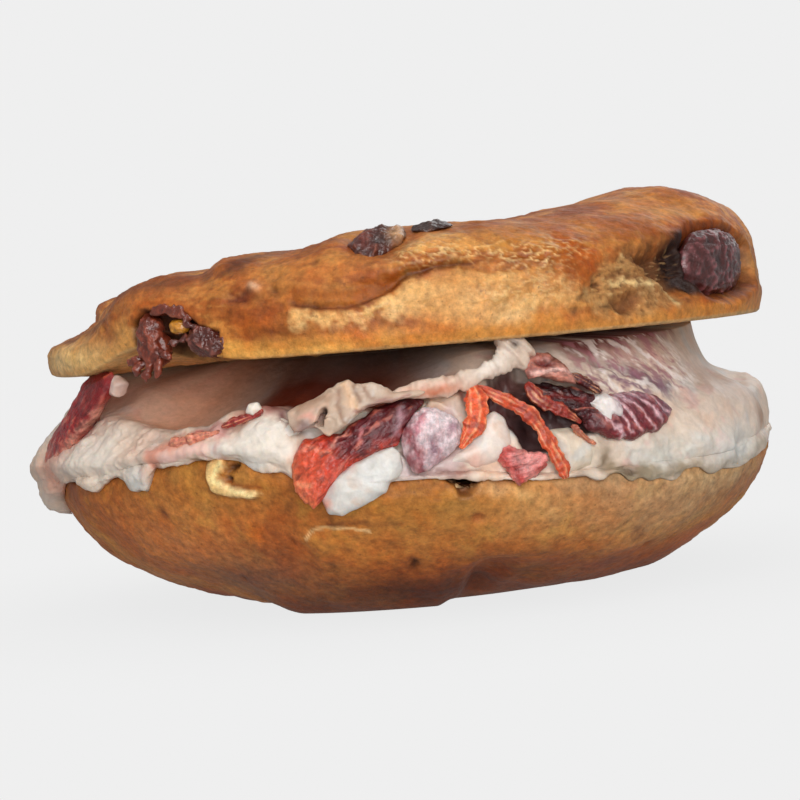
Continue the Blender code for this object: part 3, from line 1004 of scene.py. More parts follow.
    def belly_radius(self, height: np.ndarray) -> np.ndarray:
        """The plain outer radius at a height.

        Args:
            height: heights above the foot.

        Returns:
            Distances from the axis.
        """
        drop = np.clip(1 - height / self.belly_height, 0, 1)
        share = (1 - drop**self.belly_power) ** (1 / self.belly_power)
        return self.foot_radius + (self.radius - self.foot_radius) * share

    def profile(self) -> np.ndarray:
        """The plain section: cut face, rim, belly, foot and the wall of the hole.

        Returns:
            (radius, height) rows.
        """
        face = [(r, self.height) for r in (9.6, 14, 20, 28, 36, 42, 46, 49, 51, 52.1)]
        rim = [(52.6, 19.3), (52.78, 18.9), (self.radius, 18.4), (self.radius, 17.9), (self.radius, 17.45)]
        down = self.belly_height * (1 - np.sin(np.pi / 2 * np.linspace(0, 1, 86)))
        belly = list(zip(self.belly_radius(down), down))
        foot = [(r, 0.0) for r in (32, 29, self.flat_outer, 22, 18, self.flat_inner)]
        hole = [(13.2, 0.8), (11.3, 2.8), (10.2, 5.4), (9.6, 9), *[(self.hole_radius, h) for h in (13, 17)]]
        return np.array(face + rim + belly + foot + hole)

    def shaped(
        self, degrees: np.ndarray, radius: np.ndarray, height: np.ndarray
    ) -> tuple[np.ndarray, np.ndarray]:
        """The uneven cut, the lumpy side and the lobed foot.

        Args:
            degrees: the angles.
            radius: the plain distances from the axis.
            height: the plain heights.

        Returns:
            The shaped distances and heights.
        """
        top = self.height + (self.cut.at(degrees) - self.height) * ease(radius, 14, 48)
        lift = self.foot_lift.at(degrees) * (1 - ease(height, 1, self.lift_top))
        lift = lift * ease(radius, self.flat_outer, self.foot_radius)
        lump = lumps(places(degrees, radius, height * 1.5), 19)
        side = ease(radius, 36, 50) * ease(height, 0.5, 5)
        return radius + 0.8 * lump * side - 0.5 * lift, height / self.height * top + lift

    def side_at(self, degrees: np.ndarray, height: np.ndarray) -> np.ndarray:
        """The distance from the axis to the side at a height.

        Args:
            degrees: the angles.
            height: the heights above the table.

        Returns:
            The distances.
        """
        plain = height * self.height / self.cut.at(degrees)
        return self.shaped(degrees, self.belly_radius(plain), plain)[0]

    def build(self, finishes: Finishes) -> bpy.types.Object:
        """Builds and dresses the lower half.

        Args:
            finishes: the materials.

        Returns:
            The piece's object.
        """
        degrees = ring_angles()[:, None]
        profile = self.profile()
        radius, height = self.shaped(degrees, profile[None, :, 0], profile[None, :, 1])
        surface = Surface(places(degrees, radius, height), closed_rows=True)
        canvas = surface.canvas(ORANGE, 11)
        self.dress(canvas, np.broadcast_to(profile[None, :, 0], radius.shape).ravel())
        return surface.become("lower_bagel_baked", canvas, Slot.CRUST, finishes.crust, "lower_bagel")

    def dress(self, canvas: Canvas, plain_radius: np.ndarray) -> None:
        """Lays the bake, the wrinkles, the crumb and the marks.

        Args:
            canvas: the half's canvas.
            plain_radius: each point's distance from the axis in the plain section.
        """
        points, grain = canvas.points, canvas.grain
        cut_face = (canvas.height > self.cut.at(canvas.degrees) - 0.5) & (plain_radius < 52.2)
        outside = ease(plain_radius, 30, 36)
        broad = grain.layered(points, 16, 3, 0.55)
        canvas.paint(ease(broad, -0.1, 0.7), GOLD, 0.65)
        canvas.paint(ease(-broad, 0.1, 0.8), BROWN, 0.5)
        # darker towards the foot and olive-gold towards the cut: partly the bake, partly painted shade below
        # and painted light from above
        canvas.paint(ease(6.5 - canvas.height + 2.4 * grain.at(points, 7), 0, 7.5), Tone(104, 56, 32), 0.8)
        canvas.paint(ease(canvas.height, 14, 20), OLIVE_GOLD, 0.55)
        patches = grain.layered(points + 33, 5.5, 4, 0.65)
        canvas.paint(ease(patches, 0.1, 0.7) * ease(canvas.height, 5, 12), Tone(206, 158, 78), 0.55)
        canvas.paint(ease(-patches, 0.15, 0.8), Tone(136, 78, 38), 0.45)
        canvas.lay(self.marks)
        stretched = points * np.array([1, 1, 2.6])
        canvas.lift += 0.30 * grain.layered(points, 7.5, 2) * outside
        canvas.lift += 0.10 * grain.layered(points * np.array([1, 1, 1.4]), 2.6, 3, 0.6) * outside
        canvas.lift -= 0.05 * ease(grain.ridged(stretched + 40, 4.2, 2), 0.55, 0.95) * outside
        self.scatter_pits(canvas)
        below_cut = canvas.height - self.cut.at(canvas.degrees)
        rim = np.exp(-((below_cut / 1.2) ** 2)) * ease(plain_radius, 51, 52.6)
        canvas.lift += 0.35 * rim * grain.layered(points, 2.2, 2)
        wall = 1 - ease(plain_radius, 12, 20)
        canvas.paint(wall, PALE_GOLD, 0.8)
        canvas.paint(cut_face.astype(float), CRUMB)
        canvas.lift += 0.35 * grain.layered(points, 1.6, 2) * cut_face
        canvas.lift = canvas.lift * ease(canvas.height, 0.2, 1.8)
        canvas.colour = canvas.colour * np.array([1.14, 1.15, 1.1])
        canvas.wet += 0.25 + 0.25 * grain.at(points, 8) - 0.25 * cut_face

    def scatter_pits(self, canvas: Canvas) -> None:
        """Small pits and dark flecks all round the side.

        Args:
            canvas: the canvas of the surface.
        """
        chance = np.random.default_rng(5)
        for _ in range(46):
            degrees, height = chance.uniform(0, 360), chance.uniform(3, 17)
            size = chance.uniform(0.35, 0.9)
            share = Spot(degrees, height, size, size * 0.8).over(canvas, 0.15)
            canvas.lift -= 0.35 * share * chance.uniform(0.3, 1)
            canvas.paint(share, DEEP, chance.uniform(0.2, 0.6))


TEAR = path("298.4 43.6, 301 45.4, 304.6 46.7, 309.5 47.3, 314 47.7, 318.6 47.6, 318.8 44, 316.6 41.2, "
    "314.6 39.4, 310.8 38.6, 306.4 37.9, 302.4 38, 298.6 39.2, 296.4 41.2")
POCKET = path("319.6 47.2, 322.6 48.9, 327 49.5, 333 49.3, 338.6 48.2, 343.6 46.4, 343.6 43.4, 341.4 41.2, "
    "336.6 39.8, 331.6 38.9, 326.4 39.1, 322.4 40.2, 319.6 42.4")


@dataclass
class UpperHalf:
    """The upper half of the bagel: thin lip, leaning crest, front fold, tear and pockets of fruit."""

    radius: float = 53.3
    hole_radius: float = 9.5
    height: float = 16.6
    underside: float = 36.5
    crest_radius: float = 35.0
    shoulder_start: float = 5.0
    shoulder_power: float = 2.35
    lip_angle: float = 178.0
    lip_half_width: float = 44.0
    lip_reach: float = 7.4
    sag: float = 1.1
    fold_height: float = 8.7
    fold_depth: float = 1.1
    crest: RoundTheRing = RoundTheRing(
        path("0 19.3, 30 16.5, 45 15.2, 60 14.5, 90 14.8, 120 14.4, 150 13, 180 12.4, 208 11.9, 220 12.1, "
            "228 13, 238 13.4, 246 13.9, 262 16.5, 282 16.1, 300 15.6, 310 16.4, 320 17.6, 342 19.6")
    )
    marks: Marks = (
        # the thin lip at the left
        Dab(Spot(208, 38.4, 14, 2.6), Tone(248, 212, 162), 0.95),
        Dab(Spot(203, 37.2, 9, 1.4), Tone(250, 222, 178), 0.8),
        Dab(Line(path("193 39.8, 200 40.6, 208 41.6, 218 43"), 0.9), Tone(134, 82, 36), 0.8),
        Dab(Spot(224.2, 41, 1.6, 1.6), PALE_GOLD, 0.8),
        Dab(Spot(228, 45, 9, 3), Tone(182, 112, 66), 0.6),
        Dab(Spot(219, 44, 3.2, 2.4), BROWN, 0.4),
        Dab(Line(path("219 46.2, 228 47.4, 238 48.2"), 0.9), Tone(128, 84, 66), 0.6),
        # the step and the dents beside it, and painted highlights near them
        Dab(Spot(243, 49.2, 1.8, 1.2, -30), DEEP, 0.8),
        Dab(Line(path("240.5 48, 242.4 49.6, 246.4 50.2"), 0.8), Tone(116, 66, 40), 0.6),
        Push(Spot(245.4, 44.9, 2.2, 0.8, -8), -0.7),
        Dab(Spot(245.6, 44.9, 2.4, 0.9, -8), Tone(92, 44, 38), 0.8),
        Push(Spot(247.6, 45.9, 1, 0.7), 0.5),
        # painted highlight on the small bump
        Dab(Spot(247.7, 46.1, 1, 0.6), Tone(238, 206, 190), 0.75, 0.2),
        Push(Spot(251, 45.6, 0.8, 0.5, -30), -0.6),
        Dab(Spot(251, 45.6, 0.9, 0.6, -30), DEEP, 0.8),
        Dab(Spot(248.5, 48, 4, 1), Tone(206, 150, 92), 0.7),
        Dab(Spot(259.5, 47.4, 6, 1.4), Tone(196, 128, 68), 0.6),
        # pale painted highlights beside the shining ripples on the crest
        Dab(Spot(272.5, 49.4, 4.4, 1.1, 12), Tone(244, 206, 150), 0.75, 0.9),
        Dab(Spot(280.5, 49.6, 3.4, 1), Tone(238, 196, 138), 0.7, 0.9),
        # the bright cut edge and the stripes above it
        Dab(Line(path("243 37.6, 250 37.9, 260 38, 270 38, 282 38.2, "
            "292 38.4"), 1.3, 1.6), Tone(212, 154, 84), 0.85),
        Dab(Line(path("243.4 37.2, 252 37.2, 262 37.2"), 0.5), Tone(246, 196, 124), 0.7, 0.2),
        Dab(Spot(244.5, 38.4, 1.6, 1), Tone(250, 200, 124), 0.8),
        Dab(Line(path("245 40.2, 252 40.4, 260 40.2, 268 40.2"), 0.8), Tone(160, 104, 50), 0.65),
        Dab(Spot(251.5, 40.2, 1.4, 0.4), Tone(120, 66, 30), 0.8),
        Dab(Spot(263.4, 38.7, 1.6, 0.7), BRIGHT_ORANGE, 0.6),
        Dab(Spot(247.5, 41, 3.4, 1), BRIGHT_ORANGE, 0.45),
        Dab(Spot(274.5, 38.5, 2.4, 0.6), BRIGHT_ORANGE, 0.4),
        # the pale band under the crease
        Dab(Patch(path("254 41, 255 43, 258 42, 262 41.6, 266 42.4, 270 44.2, 273 45.4, 273 42, 266 40.8, "
            "258 40.4"), 0.9), Tone(244, 206, 156), 0.85, 1.3),
        Dab(Patch(path("270 45, 276 45.8, 284 46, 292 45.4, 297 44.6, 296 40, 286 39, 276 39.2, "
            "270 40.6"), 1.2), Tone(228, 184, 132), 0.8, 0.9),
        Dab(Spot(284.5, 39.6, 3, 0.9, 8), Tone(240, 206, 166), 0.7),
        Dab(Spot(288.5, 41.6, 3.6, 1, 12), Tone(232, 196, 150), 0.5),
        Dab(Spot(276, 41.6, 5, 1.4), Tone(226, 184, 134), 0.5),
        # the crease, with painted shade in it, and the skin that hangs over it
        Push(Line(path("254.4 43.5, 258 42.9, 262 42.7, 265 43.4, 268 44.7, 271 46.1, 275 46.8, "
            "281 46.9"), 0.5), -0.6, 0.15),
        Push(Line(path("255 45.1, 260 44.7, 265 45.3, 268 46.7, 272 48.1"), 1.4), 0.35, 0.2),
        # painted shade in the crease under the overhanging skin
        Dab(Line(path("254.4 43.4, 258 42.7, 262 42.4, 265 43, 268 44.3, 271 45.9, 275 46.7, "
            "281 46.9"), 0.5), Tone(104, 56, 22), 0.9, 0.2),
        Dab(Line(path("255.5 44.7, 259 44.1, 263 43.9, 266 44.7, "
            "268.6 46.1"), 1.1), Tone(164, 98, 32), 0.8, 0.4),
        Dab(Line(path("267 44.9, 269.4 46.5, 272 47.1, 277 47.4"), 0.5), Tone(150, 84, 26), 0.8, 0.3),
        Dab(Line(path("281 47.1, 285 46.9, 289 46.5, 293 46.3"), 0.3), Tone(140, 88, 44), 0.6, 0.3),
        Dab(Line(path("279 46.3, 284 45.8, 289 45.7"), 0.28), Tone(150, 96, 50), 0.55, 0.3),
        Push(Line(path("279 46.3, 284 45.8, 289 45.7, 293 45.3"), 0.35), -0.35, 0.2),
        Push(Line(path("280 47.9, 286 47.5, 292 47.1"), 0.4), -0.3, 0.2),
        # the smooth orange skin at the right
        Dab(Spot(288, 49.6, 6, 1.4), Tone(198, 146, 76), 0.7),
        Dab(Patch(path("294.5 42.6, 294 46.4, 296 49.8, 300.5 49.6, 301 46.6, "
            "298.5 43"), 1.8), Tone(178, 100, 36), 0.92, 1.4),
        Dab(Spot(293.4, 44.8, 5, 2.6), Tone(160, 96, 42), 0.55),
        Dab(Spot(310, 50.8, 12, 1.2, 3), Tone(176, 110, 56), 0.6),
        Dab(Spot(326, 51.6, 8, 1.2), PALE_GOLD, 0.5),
        Dab(Spot(305, 48.9, 5, 0.8), Tone(150, 92, 44), 0.5),
        # the tear, with painted shade in its hollows and under its flakes, and painted highlights on the
        # flakes' edges
        Push(Patch(TEAR, 1.2), -0.9, 0.4),
        Dab(Patch(TEAR, 0.9), Tone(190, 154, 112), 0.9, 0.9),
        # painted shade towards the raisin's pocket
        Dab(Spot(312.5, 43.6, 5.5, 3.6), Tone(134, 96, 64), 0.85, 0.9),
        Push(Patch(path("308.5 46.2, 313.5 47.2, 318.6 47.4, 319 40.6, 315.6 40.2, 313.2 42, "
            "310 43.8"), 0.9), -2.6, 0.3),
        # painted shade in the deeper hollow
        Dab(Patch(path("306 46.4, 313.5 47.6, 319 47.8, 319.6 40.6, 316 40.6, 313.8 42.6, "
            "310 44.6"), 0.8), Tone(112, 76, 52), 0.9, 0.6),
        Dab(Line(path("306.5 46.9, 310 47.3, 314 47.7, 319 48.4"), 0.7), Tone(158, 104, 58), 0.85, 0.4),
        Push(Line(path("301 44.6, 304.6 44.9, 308.6 44.4, 311.6 43.4"), 0.6), 0.5, 0.5),
        # dark lines: painted shade under the flakes; pale lines: painted highlights on their edges
        Dab(Line(path("301.6 43.6, 305.6 43.7, 309.6 42.9, 312.6 41.4"), 0.45), Tone(140, 102, 70), 0.8, 0.6),
        Dab(Line(path("303.6 41.8, 307.6 41.9, 311.2 40.8"), 0.4), Tone(150, 112, 76), 0.7, 0.6),
        Dab(Line(path("302.4 42.7, 306.6 42.8, 310.6 41.9"), 0.5), Tone(240, 216, 178), 0.8, 0.6),
        Dab(Line(path("311.8 42.6, 313.8 41, 314.8 39.4"), 0.6), Tone(236, 208, 168), 0.8, 0.5),
        Push(Patch(path("302 40.2, 304.6 40.8, 307.4 40.9, 306.4 39.2, 303.8 38.4"), 0.7), -0.9, 0.3),
        # painted shadow at the foot of the tear
        Dab(Patch(path("301.6 40.2, 304.6 41, 307.8 41.1, 306.6 39, "
            "303.6 38"), 0.6), Tone(126, 88, 58), 0.85, 0.6),
        Dab(Spot(299, 42.5, 0.6, 0.4), Tone(58, 44, 30), 0.9, 0.2),
        Push(Spot(299, 42.5, 0.6, 0.4), -0.6),
        Dab(Spot(296, 41, 0.7, 0.4, 20), Tone(86, 64, 44), 0.8, 0.2),
        Dab(Spot(295, 39.4, 0.6, 0.4), Tone(90, 68, 46), 0.7, 0.2),
        Dab(Spot(300.6, 39.6, 0.8, 0.4), Tone(96, 70, 48), 0.6, 0.3),
        # the pocket of the right-hand raisin, with painted shade inside and its toasted rim
        Dab(Patch(path("319 50, 324 50.6, 334 50.4, 345 46.4, 343 40.4, 331.6 37.8, 321 38.2, "
            "318.4 42.6"), 1.2), Tone(160, 88, 38), 0.85),
        Push(Patch(POCKET, 1), -3.8, 0.1),
        # painted shade inside the pocket and on its left wall
        Dab(Patch(POCKET, 1.5), Tone(34, 12, 8), 0.97, 0.5),
        Dab(Patch(path("315.4 47.4, 318.6 49.2, 321.6 49.2, 321.6 40, 318.4 40.2, "
            "316 42.6"), 0.8), Tone(36, 14, 8), 0.95, 0.5),
        Dab(Line(path("319 38.4, 325 38, 333 38.2"), 0.6), Tone(214, 150, 78), 0.8),
        Dab(Spot(345.5, 43, 3, 4), Tone(186, 148, 108), 0.7),
        # the left-hand cluster's hollow, with painted shade in it
        Push(Patch(path("226.6 37.6, 226.4 42, 228.6 43.6, 233 44, 236.6 43, 238.4 41.2, 241.8 40.4, "
            "242 37.8, 238 37.2"), 0.6), -2.2, 0.15),
        # painted shade in the hollow and under the cluster
        Dab(Patch(path("226.2 37.2, 226 42, 228.2 44, 233 44.4, 237 43.4, 238.8 41.6, 242.4 40.8, "
            "242.6 37.8, 238 37.2"), 0.5), Tone(62, 28, 16), 0.95, 0.3),
        Dab(Line(path("225.6 42.4, 228.6 44.9, 234 45, 237.6 43.6"), 0.5), ORANGE, 0.7, 0.2),
        # sockets of the fruit on the crest
        Push(Ball(266.6, 45.6, 50.6, 5, 2), -0.9),
        Dab(Ball(266.6, 47, 50.4, 5.2, 2), Tone(150, 80, 34), 0.7),
        Dab(Ball(276.4, 42.6, 52.4, 2.8, 2), DEEP, 0.6),
    )
    pockets: tuple[Ball, ...] = (
        Ball(96, 34, 52.6, 5.2, 2),
        Ball(52, 53.4, 44, 4.8, 2),
        Ball(152, 30, 50, 4.8, 2),
    )

    def base(self, degrees: np.ndarray, radius: np.ndarray) -> np.ndarray:
        """The height of the cut face."""
        raised = 3.0 * swell(degrees, 228, 20) * ease(radius, 40, 50)
        return self.underside - self.sag * swell(degrees, 200, 50) * ease(radius, 30, 48) + raised

    def profile(self) -> np.ndarray:
        """The plain section: hole, crest, shoulder, wall and cut face, from 0 at the cut.

        Returns:
            (radius, height) rows.
        """
        hole = [(self.hole_radius, height) for height in (0.4, 4)]
        corners = hole + [(11.5, 9.5), (16.5, 14), (24, 16.2), (30, 16.55)]
        inner = flowing(np.array(corners), 34)
        rise = np.sin(np.pi / 2 * np.linspace(1, 0, 84))
        power = self.shoulder_power
        reach = (self.radius - self.crest_radius) * (1 - rise**power) ** (1 / power)
        up = self.shoulder_start + (self.height - self.shoulder_start) * rise
        shoulder = np.stack([self.crest_radius + reach, up], axis=1)
        wall = [(self.radius, h) for h in (4.6, 4.2, 3.8, 3.4, 3.0, 2.6, 2.2, 1.8)]
        wall += [(53.25, 1.4), (53.15, 1.0), (53.05, 0.6), (52.95, 0.25), (52.6, 0.0)]
        face = [(r, 0.0) for r in (51.5, 49, 45, 40, 30, 18, 9.6)]
        return np.vstack([inner, shoulder, wall, face])

    def shaped(
        self, degrees: np.ndarray, radius: np.ndarray, height: np.ndarray
    ) -> tuple[np.ndarray, np.ndarray]:
        """The leaning crest, the thin lip, the front fold and the lumps.

        Args:
            degrees: the angles.
            radius: the plain distances from the axis.
            height: the plain heights above the cut.

        Returns:
            The shaped distances and the heights above the table.
        """
        crest = self.crest.at(degrees)
        slump = np.maximum(crest - 16.1, 0) * (1 - ease(radius, 20, 36)) * swell(degrees, 345, 70)
        across = radius * np.cos(np.radians(degrees))
        step = 2.3 * ease(across, -27.5, -23.5) - 1.5 - 0.8 * ease(across, -22, -15)
        step = step * ease(across, -40, -33) * ease(-np.sin(np.radians(degrees)), 0.1, 0.4)
        height = height * (crest - slump + step) / self.height
        base = self.base(degrees, radius)
        outer = ease(radius, 30, 48)
        above_lip = np.interp(height, (3.0, 4.0, 6.4, 7.4, 9.6, 12.0), (0, 0.1, 0.92, 1.08, 0.72, 0.7))
        lip = swell(degrees, self.lip_angle, self.lip_half_width) ** 0.6
        radius = radius - self.lip_reach * lip * above_lip * outer
        fold_at = self.fold_height + 0.055 * (degrees - 270)
        fold = np.exp(-(((height - fold_at) / 1.3) ** 2))
        radius = radius - self.fold_depth * fold * swell(degrees, 268, 26) * outer
        lump = lumps(places(degrees, radius, height * 1.5) + np.array([0.3 / MM, 0, 0]) * 15, 15)
        radius = radius + 0.8 * lump * outer * ease(height, 0.5, 4)
        return radius, height + 0.7 * lump * ease(height, 6, 12) + base

    def build(self, finishes: Finishes) -> bpy.types.Object:
        """Builds and dresses the upper half.

        Args:
            finishes: the materials.

        Returns:
            The piece's object.
        """
        degrees = ring_angles()[:, None]
        profile = self.profile()
        radius, height = self.shaped(degrees, profile[None, :, 0], profile[None, :, 1])
        surface = Surface(places(degrees, radius, height), closed_rows=True)
        canvas = surface.canvas(Tone(188, 124, 68), 23)
        above = np.broadcast_to(profile[None, :, 1], radius.shape).ravel()
        self.dress(canvas, above)
        return surface.become("upper_bagel_baked", canvas, Slot.CRUST, finishes.crust, "upper_bagel")

    def dress(self, canvas: Canvas, above: np.ndarray) -> None:
        """Lays the bake, the wrinkles, the crumb and the marks.

        Args:
            canvas: the half's canvas.
            above: each point's plain height above the cut face.
        """
        points, grain = canvas.points, canvas.grain
        skin = ease(above, 0.9, 3.2)
        broad = grain.layered(points, 15, 3, 0.55)
        canvas.paint(ease(broad, 0.0, 0.7), Tone(206, 150, 92), 0.7)
        canvas.paint(ease(-broad, 0.1, 0.7), Tone(160, 92, 44), 0.7)
        toasted = ease(canvas.height, 49, 53) * ease(-grain.at(points, 11), -0.4, 0.5)
        canvas.paint(toasted, Tone(150, 86, 48), 0.45)
        canvas.paint((1 - ease(above, 0.6, 3.4)) * ease(above, 0.0, 0.3), Tone(222, 168, 98), 0.6)
        bands = grain.layered((points + 21) * np.array([1, 1, 2.4]), 6.5, 4, 0.65) * skin
        canvas.paint(ease(bands, 0.05, 0.6), Tone(222, 166, 100), 0.6)
        canvas.paint(ease(-bands, 0.1, 0.7), Tone(146, 80, 36), 0.6)
        canvas.paint((above < 0.3).astype(float), CRUMB)
        canvas.paint(1 - ease(canvas.radius, 10.5, 15), PALE_GOLD, 0.7)
        canvas.lift += 0.28 * grain.layered(points, 6.5, 2) * skin
        canvas.lift += 0.12 * grain.layered(points * np.array([1, 1, 1.5]), 2.4, 3, 0.6) * skin
        for zone in self.pockets:
            share = zone.over(canvas, 0.3)
            canvas.lift -= 1.4 * share
            canvas.paint(share, Tone(120, 64, 32), 0.8)
        canvas.lay(self.marks)
        self.ripple(canvas)
        self.crumble(canvas)
        chance = np.random.default_rng(8)
        for _ in range(40):
            share = Spot(chance.uniform(0, 360), chance.uniform(39, 51), 0.6, 0.45).over(canvas, 0.15)
            canvas.lift -= 0.3 * share
            canvas.paint(share, DEEP, chance.uniform(0.2, 0.55))
        canvas.lift += 0.3 * grain.layered(points, 1.6, 2) * (above < 0.3) * (canvas.radius < 50)
        canvas.colour = canvas.colour * np.array([0.97, 0.92, 0.74])
        canvas.wet += 0.35 + 0.3 * grain.at(points, 7)

    def ripple(self, canvas: Canvas) -> None:
        """The fine shining ripples where the skin has shrunk, with a painted highlight on their crests, and
        fainter ones all round.

        Args:
            canvas: the canvas of the surface.
        """
        grain, points = canvas.grain, canvas.points
        spots = path("273.5 48.8 4.6 1.6 10 1, 289.5 46.9 4.6 1.7 -4 1, 281.5 48.4 5 1.2 0 0.8, "
            "287 42.5 7 2.4 0 0.7, 296 48 4 1.6 0 0.7, 266 41.6 5 1.2 8 0.6")
        strong = sum(share * Spot(*place).over(canvas, 0.6) for *place, share in spots) * canvas.outer
        crests = grain.ridged(points * np.array([1, 1, 1.9]), 1.5, 2)
        canvas.lift += 0.3 * np.clip(strong, 0, 1) * crests
        # painted highlight on the crests of the shining ripples
        canvas.paint(np.clip(strong, 0, 1) * ease(crests, 0.45, 0.95), Tone(255, 228, 184), 0.8)
        canvas.wet += 0.8 * strong
        around = ease(grain.at(points, 13), 0.15, 0.6) * ease(canvas.height, 39, 41)
        canvas.lift += 0.05 * around * grain.ridged(points * np.array([1, 1, 2]), 2.2, 2)

    def crumble(self, canvas: Canvas) -> None:
        """The open crumb inside the tear, darker in its low cells and paler on its raised ones: partly the
        crumb's own colour, partly painted shade and highlight.

        Args:
            canvas: the canvas of the surface.
        """
        share = Patch(TEAR, 0.8).over(canvas, 0.5) * (1 - Patch(POCKET, 1.8).over(canvas, 0.6))
        cells = canvas.grain.layered((canvas.points + 7) * np.array([1, 1, 2.2]), 1.3, 3, 0.65)
        canvas.lift += 0.22 * share * cells
        # partly crumb colour, partly painted shade in the low cells and painted highlight on the raised ones
        canvas.paint(share * ease(-cells, 0.2, 0.8), Tone(112, 78, 50), 0.7)
        canvas.paint(share * ease(cells, 0.45, 1.0), Tone(236, 208, 170), 0.4)
        canvas.wet -= 0.6 * share


# Tones of the cheese and the fruit

CREAM = Tone(234, 212, 192)
WHITE = Tone(240, 228, 214)
COOL_WHITE = Tone(222, 220, 214)
PEACH = Tone(232, 190, 160)
PINK = Tone(226, 160, 150)
WINE = Tone(104, 26, 38)
MAROON = Tone(72, 18, 24)
BLACK_RED = Tone(38, 12, 14)
RED = Tone(178, 50, 44)
SALMON = Tone(232, 140, 112)
RAISIN_BROWN = Tone(76, 34, 28)
# a painted highlight for the crests of raisin wrinkles
RAISIN_HIGHLIGHT = Tone(140, 90, 76)


FRONT_SLICE = path("254.2 25.7, 257.3 26, 259.5 26.2, 261.3 27, 262.8 27.9, 264.7 29.1, 267.2 29.7, "
    "270 30.1, 272.1 29.3, 271.3 28.6, 270.2 27.7, 269 26.5, 268.2 25.2, 267.7 23.8, 266 23.5, 263.8 22.9, "
    "261.6 22, 259 21, 257.1 20.4, 256.1 19.5, 255.6 18.1, 256 16.2, 254.7 17.3, 253 18.9, 252.6 20.7, "
    "252.4 22.3, 253.1 24.1")
COATED_SLICE = path("270.2 27.9, 271.6 28.6, 273.3 28.4, 275 27.6, 276.3 26.6, 276.8 24.9, 276.4 23.6, "
    "274.9 22.4, 273.4 21.6, 272 20.7, 270.2 20.1, 269.2 20.6, 268.5 22, 267.9 24, 268.4 25.6, 269.2 26.8")


